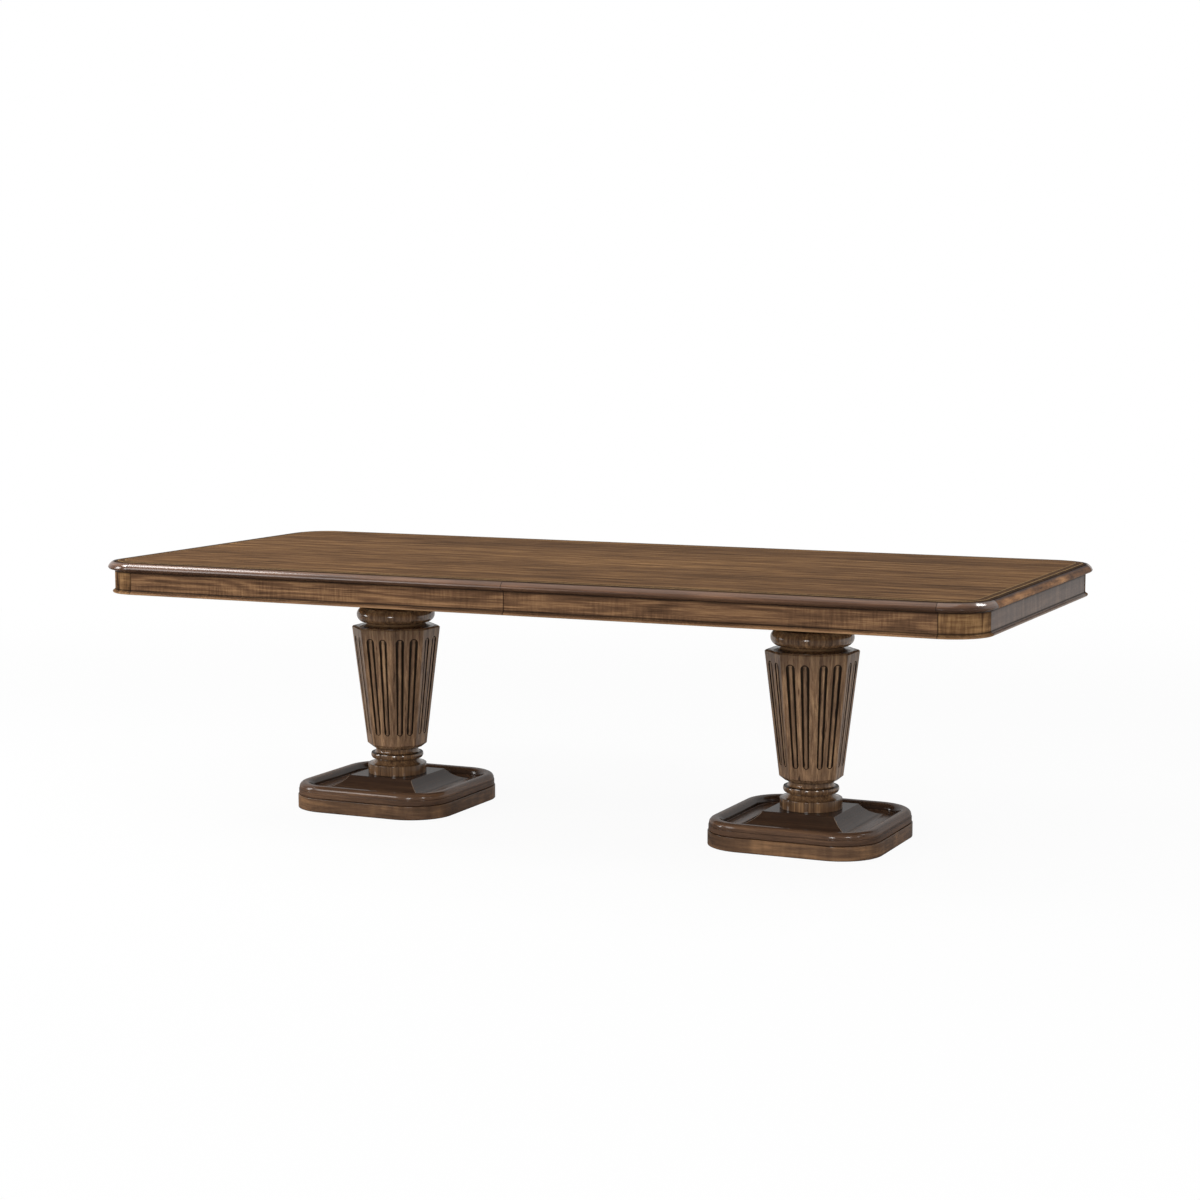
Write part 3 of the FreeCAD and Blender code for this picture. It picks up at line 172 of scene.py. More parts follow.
class Graph:
    """A material's or world's node tree, and the one way that nodes are added to it."""

    def __init__(self, tree: bpy.types.NodeTree) -> None:
        """Empties a tree to build in."""
        self.tree = tree
        tree.nodes.clear()

    def node(
        self,
        kind: str,
        settings: dict[str, Any] | None = None,
        inputs: dict[Any, Any] | None = None,
    ) -> bpy.types.Node:
        """Adds a node.

        Args:
            kind: The node's type name.
            settings: Properties, set before the inputs. The one named "stops" gives a
                ramp its pairs of a place and a colour.
            inputs: Values or links by the socket's name or number.

        Returns:
            The new node.
        """
        made = self.tree.nodes.new(kind)
        for name, setting in (settings or {}).items():
            if name == "stops":
                self._set_stops(made.color_ramp, setting)
            else:
                setattr(made, name, setting)
        for key, source in (inputs or {}).items():
            socket = made.inputs[key]
            if isinstance(source, Value):
                self.tree.links.new(source.socket, socket)
            elif isinstance(source, bpy.types.NodeSocket):
                self.tree.links.new(source, socket)
            elif isinstance(source, tuple) and len(socket.default_value) == 4:
                socket.default_value = (*source, 1.0)
            else:
                socket.default_value = source
        return made

    @staticmethod
    def _set_stops(
        ramp: bpy.types.ColorRamp, stops: list[tuple[float, Colour]]
    ) -> None:
        """Gives a ramp its stops.

        Args:
            ramp: The ramp of a new node, which has two stops.
            stops: Each stop's place and colour, in order.
        """
        for place, _ in stops[2:]:
            ramp.elements.new(place)
        for element, (place, colour) in zip(ramp.elements, stops):
            element.position = place
            element.color = (*colour, 1.0)

    def place(self) -> tuple[Value, Value, Value]:
        """The shaded point, in its object's own axes.

        Returns:
            Its X, Y and Z.
        """
        coordinates = self.node("ShaderNodeTexCoord").outputs["Object"]
        split = self.node("ShaderNodeSeparateXYZ", {}, {0: coordinates})
        return tuple(Value(self, output) for output in split.outputs)

    def vector(self, x: Number, y: Number, z: Number) -> bpy.types.NodeSocket:
        """Three numbers as a vector."""
        return self.node("ShaderNodeCombineXYZ", {}, {0: x, 1: y, 2: z}).outputs[0]

    def noise(self, at: Place, detail: float, roughness: float = 0.5) -> Value:
        """Soft noise with its mean near 0 and nearly all of it between -0.5 and 0.5.

        Args:
            at: The place, already stretched by the scale along each axis.
            detail: How many finer layers are added.
            roughness: How strong each finer layer is.

        Returns:
            The noise.
        """
        made = self.node(
            "ShaderNodeTexNoise",
            {"noise_dimensions": "3D"},
            {
                "Vector": self.vector(*at),
                "Scale": 1.0,
                "Detail": detail,
                "Roughness": roughness,
            },
        )
        return Value(self, made.outputs[0]) - SWING

    def random(self, seed: Number) -> Value:
        """A random number from 0 to 1 that is the same wherever the seed is."""
        made = self.node(
            "ShaderNodeTexWhiteNoise", {"noise_dimensions": "1D"}, {"W": seed}
        )
        return Value(self, made.outputs["Value"])

    def mix(self, share: Number, first: Any, second: Any) -> bpy.types.NodeSocket:
        """A colour between two others: the first at a share of 0, the second at 1."""
        made = self.node(
            "ShaderNodeMix",
            {"data_type": "RGBA"},
            {"Factor": share, 6: first, 7: second},
        )
        return made.outputs[2]

    def bump(
        self, height: Value, strength: float, distance: float
    ) -> bpy.types.NodeSocket:
        """A normal that follows a relief, whose distance says how tall it is."""
        inputs = {"Strength": strength, "Distance": distance, "Height": height}
        return self.node("ShaderNodeBump", {}, inputs).outputs["Normal"]

    def output(
        self, shader: bpy.types.Node, kind: str = "ShaderNodeOutputMaterial"
    ) -> None:
        """Makes a shader the tree's result."""
        self.node(kind, {}, {"Surface": shader.outputs[0]})


def new_material(name: str) -> tuple[bpy.types.Material, Graph]:
    """Makes an empty material.

    Args:
        name: The material's name.

    Returns:
        The material and its node tree.
    """
    made = bpy.data.materials.new(name)
    made.use_nodes = True
    return made, Graph(made.node_tree)


class Side(Enum):
    """The half of the table that a piece belongs to."""

    LEFT = "left"
    RIGHT = "right"


class Grain(Enum):
    """The direction in which a piece's wood fibres run."""

    ALONG_X = "x"
    ALONG_Y = "y"
    UPRIGHT = "z"
    ROUND_EDGE = "round"
    ACROSS_EDGE = "across"


@dataclass(frozen=True)
class Outline:
    """A rounded rectangle in plan, the same on both halves of the table."""

    half_length: float
    half_width: float
    corner: float
    centre: float = 0.0

    def measure(self, graph: Graph) -> tuple[Value, Value]:
        """How far in from the outline a point is, and how far round it.

        Args:
            graph: The tree to build in.

        Returns:
            The distance in, and the distance round from the middle of the nearer end.
        """
        x, y, _ = graph.place()
        if self.centre:
            x = abs(x) - self.centre
        turn_x = self.half_length - self.corner
        turn_y = self.half_width - self.corner
        over_x = abs(x) - turn_x
        over_y = abs(y) - turn_y
        in_corner = over_x.math("GREATER_THAN", 0.0) * over_y.math("GREATER_THAN", 0.0)
        reach = (over_x * over_x + over_y * over_y).math("SQRT")
        straight = over_x.math("MAXIMUM", over_y)
        inset = self.corner - (in_corner * reach + (1 - in_corner) * straight)
        turn = over_y.math("ARCTAN2", over_x).math("MAXIMUM", 0.0)
        turn = turn.math("MINIMUM", math.pi / 2)
        on_end = abs(y).math("MINIMUM", turn_y)
        on_side = (-over_x).math("MAXIMUM", 0.0)
        return inset, on_end + turn * self.corner + on_side


@dataclass(frozen=True)
class LevelTint:
    """Painted shade in a groove, and painted highlights on a crest, at one level all
    round.

    Every kind of tint is dark, in the wood's colour for joints and painted shade,
    unless it has a colour of its own.
    """

    level: float
    reach: float
    depth: float
    colour: Colour | None = None

    def mask(self, graph: Graph) -> Value:
        """How strong the tint is, from 0 to depth."""
        _, _, z = graph.place()
        return abs(z - self.level).step(self.reach, 0.0) * self.depth


@dataclass(frozen=True)
class InsetTint:
    """A tint along a line at one distance in from an outline."""

    outline: Outline
    inset: float
    reach: float
    depth: float
    above: float = 0.0
    colour: Colour | None = None

    def mask(self, graph: Graph) -> Value:
        """How strong the tint is at the shaded point.

        Args:
            graph: The tree to build in.

        Returns:
            The strength, from 0 to depth.
        """
        _, _, z = graph.place()
        inset, _ = self.outline.measure(graph)
        near = abs(inset - self.inset).step(self.reach, 0.0)
        return near * z.math("GREATER_THAN", self.above) * self.depth


@dataclass(frozen=True)
class JointTint:
    """Dark glaze in joints at one distance from the table's middle, along X or Y."""

    axis: int
    place: float
    reach: float
    depth: float
    colour: Colour | None = None

    def mask(self, graph: Graph) -> Value:
        """How strong the tint is, from 0 to depth."""
        away = abs(abs(graph.place()[self.axis]) - self.place)
        return away.step(self.reach, 0.0) * self.depth


@dataclass(frozen=True)
class FlutePaintedShade:
    """Painted shade in a tapered column's flutes, by their depth below its faces."""

    centre: float
    low_level: float
    low_apothem: float
    high_level: float
    high_apothem: float
    margin: float
    start: float = 0.0005
    full: float = 0.0016
    depth: float = 0.97
    fade: float = 0.003
    colour: Colour | None = None

    def mask(self, graph: Graph) -> Value:
        """How strong the tint is at the shaded point.

        Args:
            graph: The tree to build in.

        Returns:
            The strength, from 0 to depth.
        """
        _, _, z = graph.place()
        rise = self.high_level - self.low_level
        slope = (self.high_apothem - self.low_apothem) / rise
        apothem = (z - self.low_level) * slope + self.low_apothem
        reach, _ = across_face(graph, self.centre)
        low = self.low_level + self.margin
        high = self.high_level - self.margin
        on_shaft = z.step(low, low + self.fade) * z.step(high, high - self.fade)
        return (apothem - reach).step(self.start, self.full) * on_shaft * self.depth


@dataclass(frozen=True)
class HipPaintedHighlight:
    """A painted highlight: a lighter line along the hips of a plinth's raised field."""

    centre: float
    inner: float
    outer: float
    reach: float
    depth: float
    colour: Colour | None = None
    inner_fade: float = 0.004
    outer_fade: float = 0.01

    def mask(self, graph: Graph) -> Value:
        """How strong the tint is at the shaded point.

        Args:
            graph: The tree to build in.

        Returns:
            The strength, from 0 to depth.
        """
        x, y, _ = graph.place()
        out = abs(abs(x) - self.centre)
        near = abs(out - abs(y)).step(self.reach, 0.0)
        begun = out.step(self.inner, self.inner + self.inner_fade)
        run = begun * out.step(self.outer, self.outer - self.outer_fade)
        return near * run * self.depth


Tint = Union[LevelTint, InsetTint, JointTint, FlutePaintedShade, HipPaintedHighlight]


def across_face(graph: Graph, centre: float) -> tuple[Value, Value]:
    """Distance out from a pedestal's axis, square to the nearest face of its column.

    Args:
        graph: The tree to build in.
        centre: How far the axis is from the middle of the table.

    Returns:
        The distance square to the face, and the face's number.
    """
    x, y, _ = graph.place()
    out = abs(x) - centre
    turn = y.math("ARCTAN2", out)
    sector = 2 * math.pi / COLUMN_SIDES
    face = (turn / sector + HALF_STEP).math("FLOOR")
    folded = turn - face * sector
    reach = (out * out + y * y).math("SQRT")
    return reach * folded.math("COSINE"), face


@dataclass(frozen=True)
class Streaks:
    """One family of streaks in a wood.

    Along and across are how often the tone changes in a metre, with the fibres and
    across them. Depth is a share of the way from the wood's dark tone to its light one.
    """

    along: float
    across: float
    depth: float
    detail: float = 3.0
    roughness: float = 0.55
    waves: float = 0.0
    cut: Span | None = None
    patchy: bool = False

    def shape(self, graph: Graph, spot: Callable[[float, float], Place]) -> Value:
        """The streaks before their depth.

        Args:
            graph: The tree to build in.
            spot: Gives the place in the wood, stretched by two rates.

        Returns:
            Soft noise, contour lines of it where waves is given, or crisp dark lines.
        """
        noise = graph.noise(spot(self.along, self.across), self.detail, self.roughness)
        if self.waves:
            noise = (noise * (self.waves * 2 * math.pi)).math("SINE") * SWING
        if self.cut:
            noise = -noise.step(*self.cut)
        if self.patchy:
            patches = graph.noise(spot(*PATCH_RATES), PATCH_DETAIL)
            noise = noise * patches.step(*PATCH_EDGE)
        return noise


FIBRES = Streaks(22.0, 900.0, 0.35, 3.0, 0.6)
PORES = Streaks(55.0, 1900.0, 0.30, 1.0, cut=(0.10, 0.26))


@dataclass(frozen=True)
class Figure:
    """All the streaks of a wood, and how its boards or staves differ."""

    streaks: tuple[Streaks, ...]
    fibres: Streaks = FIBRES
    pores: Streaks = PORES
    board_width: float = 0.0
    board_depth: float = 0.0
    stave_depth: float = 0.0


def figured(*streaks: Streaks, **differences: float) -> Figure:
    """A wood's figure from its streaks and from how its boards or staves differ."""
    return Figure(streaks, **differences)


@dataclass(frozen=True)
class Lacquer:
    """A thin clear coat, which is what shines on the wood."""

    weight: float = 0.05
    roughness: float = 0.14
    index: float = 2.0


@dataclass(frozen=True)
class Wood:
    """A stained and lacquered wood, with its figure in the solid.

    The three tones are the colours of the dark lines, the body and the light lines.
    """

    name: str
    grain: Grain
    dark: Colour
    body: Colour
    light: Colour
    figure: Figure
    lacquer: Lacquer = Lacquer()
    tints: tuple[Tint, ...] = ()
    outline: Outline | None = None
    centre: float = 0.0
    sided: bool = True
    roughness: float = 0.5
    # Dark colour of the joints, and of the painted shade in creases and quirks.
    joint_and_shade_colour: Colour = (0.009, 0.006, 0.004)
    seed: float = 0.0

    def directions(self, graph: Graph) -> tuple[list[Value], list[Value]]:
        """The point's distances along the fibres and across them, three in all.

        Args:
            graph: The tree to build in.

        Returns:
            The distances along and the distances across.
        """
        x, y, z = graph.place()
        if self.grain is Grain.ALONG_X:
            return [x], [y, z]
        if self.grain is Grain.ALONG_Y:
            return [y], [x, z]
        if self.grain is Grain.UPRIGHT:
            return [z], [x, y]
        inset, run = self.outline.measure(graph)
        if self.grain is Grain.ROUND_EDGE:
            return [x, y], [z + inset * EDGE_DRIFT]
        return [inset], [run, z]

    def tone(self, graph: Graph) -> tuple[Value, Value]:
        """How light the wood is, and how proud its fibres stand.

        Args:
            graph: The tree to build in.

        Returns:
            The tone, where 0 is dark, 0.5 the body and 1 light, and the relief.
        """
        figure = self.figure
        along, across = self.directions(graph)
        x, _, _ = graph.place()
        shift: Number = self.seed * SEED_SHIFT
        tone: Number = BODY_TONE
        if self.sided:
            shift = x.math("SIGN") * HALF_SHIFT + shift
        if figure.board_width:
            board = (across[0] / figure.board_width + self.seed).math("FLOOR")
            chance = graph.random(board + HALF_STEP)
            tone = (chance - SWING) * figure.board_depth + tone
            shift = chance * BOARD_SHIFT + shift
        if figure.stave_depth:
            _, face = across_face(graph, self.centre)
            stave = graph.random(face + x.math("SIGN") * STAVES_APART + HALF_STEP)
            tone = (stave - SWING) * figure.stave_depth + tone
            shift = stave * STAVE_SHIFT + shift

        def spot(along_rate: float, across_rate: float) -> Place:
            """The place in the wood, stretched along the fibres and across them."""
            lengthwise = [distance * along_rate + shift for distance in along]
            return tuple(lengthwise + [distance * across_rate for distance in across])

        for streaks in figure.streaks:
            tone = streaks.shape(graph, spot) * streaks.depth + tone
        fibres = figure.fibres.shape(graph, spot)
        pores = figure.pores.shape(graph, spot)
        tone = tone + fibres * figure.fibres.depth + pores * figure.pores.depth
        return tone, fibres + pores

    def material(self) -> bpy.types.Material:
        """Builds the material.

        Returns:
            The finished material.
        """
        made, graph = new_material(self.name)
        tone, relief = self.tone(graph)
        stops = [(0.0, self.dark), (BODY_TONE, self.body), (1.0, self.light)]
        ramp = graph.node("ShaderNodeValToRGB", {"stops": stops}, {"Fac": tone})
        colour: bpy.types.NodeSocket = ramp.outputs["Color"]
        dark_joint_and_shade_mask: Number = 0.0
        # Most tints paint shade into creases and highlights onto crests; joint tints
        # are the wood's dark joints. The uncoloured ones also dull the coat.
        for tint in self.tints:
            mask = tint.mask(graph)
            colour = graph.mix(mask, colour, tint.colour or self.joint_and_shade_colour)
            if tint.colour is None:
                dark_joint_and_shade_mask = mask.math("MAXIMUM", dark_joint_and_shade_mask)
        normal = graph.bump(relief, FIBRE_BUMP, FIBRE_HEIGHT)
        spread = tuple(part * SMUDGE_RATE for part in graph.place())
        smudge = graph.noise(spread, SMUDGE_DETAIL)
        shine = (smudge * SMUDGE_ON_SHINE + 1.0) * self.lacquer.weight
        if self.tints:
            shine = shine * (1 - dark_joint_and_shade_mask * JOINT_AND_SHADE_DULLING)
        shader = graph.node(
            "ShaderNodeBsdfPrincipled",
            {},
            {
                "Base Color": colour,
                "Roughness": smudge * SMUDGE_ON_ROUGHNESS + self.roughness,
                "Specular IOR Level": 0.0,
                "Coat Weight": shine,
                "Coat Roughness": self.lacquer.roughness,
                "Coat IOR": self.lacquer.index,
                "Normal": normal,
            },
        )
        graph.output(shader)
        return made


@dataclass(frozen=True)
class Plain:
    """Metal or plastic with soft clouds of a darker shade and fine scratches along X.

    Clouds and scratches are how often the texture changes in a metre.
    """

    name: str
    colour: Colour
    metallic: float
    roughness: float
    brushing: float = 0.3
    clouds: float = 90.0
    cloud_detail: float = 3.0
    cloud_shade: float = 0.72
    scratches_along: float = 300.0
    scratches_across: float = 2500.0
    scratch_detail: float = 2.0
    scratch_bump: float = 0.2
    scratch_height: float = 0.0001

    def material(self) -> bpy.types.Material:
        """Builds the material.

        Returns:
            The finished material.
        """
        made, graph = new_material(self.name)
        x, y, z = graph.place()
        spread = tuple(part * self.clouds for part in (x, y, z))
        cloud = graph.noise(spread, self.cloud_detail)
        across = (y * self.scratches_across, z * self.scratches_across)
        scratch = graph.noise((x * self.scratches_along, *across), self.scratch_detail)
        darker = tuple(self.cloud_shade * part for part in self.colour)
        colour = graph.mix(cloud + SWING, darker, self.colour)
        normal = graph.bump(scratch, self.scratch_bump, self.scratch_height)
        shader = graph.node(
            "ShaderNodeBsdfPrincipled",
            {},
            {
                "Base Color": colour,
                "Metallic": self.metallic,
                "Roughness": scratch * self.brushing + self.roughness,
                "Normal": normal,
            },
        )
        graph.output(shader)
        return made


Finish = Union[Wood, Plain]

FRAME_WOOD = Wood(
    "frame_poplar", Grain.ALONG_Y,
    (0.30, 0.20, 0.10), (0.45, 0.33, 0.18), (0.58, 0.45, 0.27),
    figured(
        Streaks(3.0, 55.0, 1.0), Streaks(4.0, 150.0, 0.7),
        board_width=0.09, board_depth=0.2,
    ),
    Lacquer(0.03, 0.3), roughness=0.6, seed=10.0,
)
RAIL_WOOD = Wood(
    "rail_beech", Grain.ALONG_X,
    (0.36, 0.21, 0.11), (0.50, 0.33, 0.19), (0.60, 0.43, 0.27),
    figured(Streaks(3.0, 55.0, 0.6), Streaks(4.0, 150.0, 0.7)),
    Lacquer(0.06, 0.25), sided=False, seed=11.0,
)
STEEL = Plain("zinc_steel", (0.55, 0.54, 0.52), 1.0, 0.34)
GLIDE_PLASTIC = Plain("glide_nylon", (0.035, 0.033, 0.032), 0.0, 0.45, 0.1)


class Materials:
    """The finishes' materials, each made once."""

    def __init__(self) -> None:
        """Starts with none."""
        self.made: dict[str, bpy.types.Material] = {}

    def of(self, finish: Finish) -> bpy.types.Material:
        """The material of a finish.

        Args:
            finish: The finish.

        Returns:
            Its material, made at the first call.
        """
        if finish.name not in self.made:
            self.made[finish.name] = finish.material()
        return self.made[finish.name]


@dataclass(frozen=True)
class Easing:
    """How a piece's sharp edges are eased, as sanding and lacquer leave them.

    Edges that turn by more than sharp are bevelled, once faces that turn by less than
    flat are joined. Faces that turn by less than smooth are shaded as one.
    """

    width: float
    slot: str
    sharp: float = math.radians(22.0)
    segments: int = 2
    flat: float = math.radians(0.4)
    smooth: float = math.radians(50.0)
    merge: float = 0.000002

    def make(self, node: bpy.types.Object, name: str) -> bpy.types.Object:
        """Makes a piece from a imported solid, with its sharp edges eased.

        Args:
            node: The solid's object.
            name: The new piece's name.

        Returns:
            The new piece.
        """
        bpy.ops.object.select_all(action="DESELECT")
        piece = bpy.data.objects.new(name, node.data.copy())
        bpy.context.scene.collection.objects.link(piece)
        piece.select_set(True)
        bpy.context.view_layer.objects.active = piece
        bpy.ops.object.mode_set(mode="EDIT")
        bpy.ops.mesh.select_mode(type="EDGE")
        bpy.ops.mesh.select_all(action="SELECT")
        bpy.ops.mesh.remove_doubles(threshold=self.merge)
        bpy.ops.mesh.dissolve_limited(angle_limit=self.flat)
        bpy.ops.mesh.select_all(action="DESELECT")
        bpy.ops.mesh.edges_select_sharp(sharpness=self.sharp)
        bpy.ops.mesh.bevel(
            offset=self.width,
            segments=self.segments,
            affect="EDGES",
            clamp_overlap=True,
        )
        bpy.ops.object.mode_set(mode="OBJECT")
        bpy.ops.object.shade_smooth_by_angle(angle=self.smooth)
        weighting = piece.modifiers.new("flat_faces_lead", "WEIGHTED_NORMAL")
        weighting.keep_sharp = True
        bpy.ops.object.modifier_apply(modifier=weighting.name)
        return piece


@dataclass
class Assembly:
    """What sub-assemblies share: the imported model, their half and their dressing."""

    frame: dict[str, Any]
    materials: Materials
    side: Side

    def finishes(self) -> dict[str, Finish]:
        """The finish of each node, by the node's name without its half."""
        return {}

    def easings(self) -> dict[str, Easing]:
        """How some nodes' edges are eased, by the node's name without its half."""
        return {}

    def dress(self) -> None:
        """Eases the edges that the easings name, and gives each piece its finish."""
        easings = self.easings()
        for short_name, finish in self.finishes().items():
            name = f"{self.side.value}_{short_name}"
            piece = self.frame["nodes"][name]
            if short_name in easings:
                easing = easings[short_name]
                piece = easing.make(piece, f"{name}_eased")
                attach(piece, f"{self.side.value}_half")
                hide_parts(name)
            coat(piece, self.materials.of(finish))
            LOG.info("%s: %s", piece.name, finish.name)


def coat(piece: bpy.types.Object, material: bpy.types.Material) -> None:
    """Gives a piece one material and no other."""
    piece.data.materials.clear()
    piece.data.materials.append(material)


@dataclass
class HalfTop(Assembly):
    """Half of the top: its panel, inlaid border, edge bead and apron."""

    half_length: float = 1.330
    half_width: float = 0.610
    corner: float = 0.125
    top_level: float = 0.762
    panel_bottom: float = 0.735
    apron_bottom: float = 0.669
    foot_bead: float = 0.013
    panel_inset: float = 0.0195
    string_inset: float = 0.0290

    def outline(self) -> Outline:
        """The whole top's outline."""
        return Outline(self.half_length, self.half_width, self.corner)

    def easings(self) -> dict[str, Easing]:
        """How the edges of the bead and the apron are eased.

        Returns:
            The easing of each of their nodes, by the node's name without its half.
        """
        bead = Easing(0.0005, "moulding_wood")
        apron = Easing(0.0006, "apron_wood")
        places = ("front", "end", "back", "corners")
        eased = {f"bead_{place}": bead for place in places}
        eased.update({f"apron_{place}": apron for place in places})
        return eased

    def finishes(self) -> dict[str, Finish]:
        """The finish of each node, by the node's name without its half."""
        return {**self.top_finishes(), **self.bead_finishes(), **self.apron_finishes()}

    def top_finishes(self) -> dict[str, Finish]:
        """The finishes of the panel and of its inlaid border.

        Returns:
            Each node's finish, by its name without its half.
        """
        border = self.outline()
        sheen = Lacquer(0.04, 0.16)
        margin = (self.panel_inset + self.string_inset) / 2
        panel = Wood(
            "top_walnut", Grain.ALONG_X,
            (0.034, 0.017, 0.007), (0.144, 0.0735, 0.0335), (0.365, 0.199, 0.081),
            figured(
                Streaks(0.8, 3.0, 0.60),
                Streaks(2.2, 26.0, 0.45),
                Streaks(3.6, 76.0, 1.40, 3.0, 0.66),
                Streaks(8.0, 180.0, 1.3, 4.0, 0.66),
                Streaks(2.6, 70.0, 0.50, cut=(-0.14, -0.20)),
                board_width=0.105, board_depth=0.12,
            ),
            sheen, sided=False,
            tints=(
                InsetTint(border, margin, 0.0095, 0.85, colour=(0.024, 0.014, 0.009)),
                # Painted shade in the quirk between the panel and the bead.
                InsetTint(border, self.panel_inset, 0.0035, 0.85),
            ),
        )
        string = Wood(
            "string_maple", Grain.ROUND_EDGE,
            (0.19, 0.120, 0.050), (0.32, 0.21, 0.090), (0.42, 0.29, 0.14),
            figured(Streaks(4.0, 55.0, 0.6)), sheen, outline=border, seed=1.0,
        )
        crossband = Wood(
            "crossband_walnut", Grain.ACROSS_EDGE,
            (0.034, 0.016, 0.007), (0.082, 0.042, 0.020), (0.16, 0.085, 0.038),
            figured(Streaks(3.0, 55.0, 1.1), Streaks(4.0, 150.0, 0.8)), sheen,
            outline=border, seed=2.0,
        )
        return {"top_panel": panel, "inlay_strings": string, "crossband": crossband}

    def bead_finishes(self) -> dict[str, Finish]:
        """The finishes of the edge bead's lengths and curved corners.

        Returns:
            Each node's finish, by its name without its half.
        """
        border = self.outline()
        hollow = self.panel_inset - 0.0015
        # Painted shade on the bead's inner top fillet and where it meets the apron; the
        # joint tints are dark joints.
        painted_light_and_joint_tints = (
            InsetTint(border, hollow, 0.0085, 0.90, above=self.top_level - 0.008),
            LevelTint(self.panel_bottom - 0.0020, 0.0045, 0.9),
            JointTint(0, 0.0, 0.0022, 0.75),
            JointTint(0, self.half_length - self.corner, 0.0022, 0.75),
            JointTint(1, self.half_width - self.corner, 0.0022, 0.75),
        )
        # The front lengths and corners also get painted shade on the bead's underside.
        tints_with_painted_under_shade = (*painted_light_and_joint_tints, LevelTint(self.panel_bottom + 0.0055, 0.0105, 0.6))
        figure = figured(
            Streaks(2.5, 10.0, 0.6),
            Streaks(3.0, 70.0, 1.1),
            Streaks(5.0, 170.0, 0.8, 4.0),
        )
        # Painted shade on the end bead's top half, darker and violet.
        painted_end_shade = InsetTint(
            border, inset=0.0125, reach=0.0085, depth=0.85,
            above=self.top_level - 0.011, colour=(0.022, 0.015, 0.016),
        )
        length = Wood(
            "bead_walnut", Grain.ROUND_EDGE,
            (0.034, 0.016, 0.009), (0.130, 0.064, 0.036), (0.30, 0.156, 0.085),
            figure, Lacquer(0.48, 0.20), tints_with_painted_under_shade, border, sided=False, seed=3.0,
        )
        # The back bead is a painted-shade copy of the bead: the same wood, much darker.
        back = Wood(
            "bead_back_walnut_painted_shade", Grain.ROUND_EDGE,
            (0.016, 0.008, 0.006), (0.030, 0.016, 0.010), (0.075, 0.040, 0.022),
            figure, Lacquer(0.03, 0.2), painted_light_and_joint_tints, border, seed=3.2,
        )
        end = Wood(
            "bead_end_walnut", Grain.ROUND_EDGE,
            (0.045, 0.018, 0.007), (0.200, 0.090, 0.033), (0.43, 0.215, 0.088),
            figured(Streaks(9.0, 30.0, 1.9), Streaks(12.0, 90.0, 0.9), FIBRES),
            Lacquer(0.16, 0.12), (*painted_light_and_joint_tints, painted_end_shade), border, seed=3.5,
        )
        corner = Wood(
            "bead_corner_walnut", Grain.ROUND_EDGE,
            (0.030, 0.015, 0.009), (0.118, 0.060, 0.036), (0.27, 0.142, 0.078),
            figure, Lacquer(0.72, 0.12), tints_with_painted_under_shade, border, seed=3.8,
        )
        return {
            "bead_front": length, "bead_end": end,
            "bead_back": back, "bead_corners": corner,
        }

    def apron_finishes(self) -> dict[str, Finish]:
        """The finishes of the apron's lengths and curved corner blocks.

        Returns:
            Each node's finish, by its name without its half.
        """
        border = self.outline()
        groove = self.apron_bottom + self.foot_bead - 0.0015
        # Painted shadow under the bead, painted shade in the groove above the foot
        # bead, a painted highlight on the foot bead, and dark joints.
        painted_light_and_joint_tints = (
            LevelTint(self.panel_bottom + 0.0005, 0.0105, 0.9),
            LevelTint(groove, 0.0042, 0.80),
            # Painted highlight along the foot bead.
            LevelTint(self.apron_bottom + 0.0020, 0.0035, 0.55, (0.36, 0.21, 0.105)),
            JointTint(0, 0.0, 0.0026, 0.9),
            JointTint(0, self.half_length - self.corner, 0.0030, 0.75),
            JointTint(1, self.half_width - self.corner, 0.0030, 0.75),
        )
        length = Wood(
            "apron_walnut", Grain.ROUND_EDGE,
            (0.034, 0.018, 0.010), (0.129, 0.068, 0.036), (0.33, 0.184, 0.088),
            figured(
                Streaks(1.3, 6.0, 0.30),
                Streaks(1.5, 16.0, 0.26, 2.0, waves=7.0),
                Streaks(3.5, 110.0, 0.80),
                Streaks(8.0, 260.0, 1.15, 4.0, 0.62),
                Streaks(160.0, 16.0, 0.70, 2.0, patchy=True),
            ),
            Lacquer(0.05, 0.26), painted_light_and_joint_tints, border, seed=4.0,
        )
        # The apron's ends get a greyer body than its front: painted sheen, besides the
        # coat's own reflection.
        end = Wood(
            "apron_end_walnut_painted_sheen", Grain.ROUND_EDGE,
            (0.040, 0.026, 0.020), (0.104, 0.069, 0.053), (0.23, 0.152, 0.105),
            figured(
                Streaks(2.0, 12.0, 0.35),
                Streaks(5.0, 85.0, 0.5),
                Streaks(42.0, 5.0, 0.75, 2.0),
            ),
            Lacquer(0.34, 0.22), painted_light_and_joint_tints, border, seed=4.5,
        )
        corner = Wood(
            "corner_walnut", Grain.ROUND_EDGE,
            (0.036, 0.018, 0.009), (0.150, 0.080, 0.037), (0.36, 0.208, 0.092),
            figured(
                Streaks(7.0, 20.0, 0.5),
                Streaks(8.0, 90.0, 1.0),
                Streaks(105.0, 16.0, 0.9, 2.0),
                Streaks(48.0, 4.0, 0.5, 2.0, cut=(-0.10, -0.20)),
            ),
            Lacquer(0.03, 0.20), painted_light_and_joint_tints, border, seed=5.0,
        )
        return {
            "apron_front": length, "apron_end": end,
            "apron_back": length, "apron_corners": corner,
        }


@dataclass
class UnderFrame(Assembly):
    """The frame under a half top, with its slide rails and screws."""

    def finishes(self) -> dict[str, Finish]:
        """The finishes of the frame's woods and screws.

        Returns:
            Each node's finish, by its name without its half.
        """
        finishes: dict[str, Finish] = {"slide_rails": RAIL_WOOD}
        for name in ("bearers", "mounting_board", "corner_braces", "glue_blocks"):
            finishes[name] = FRAME_WOOD
        for name in ("wood_screws", "lock_screws"):
            finishes[name] = STEEL
        return finishes


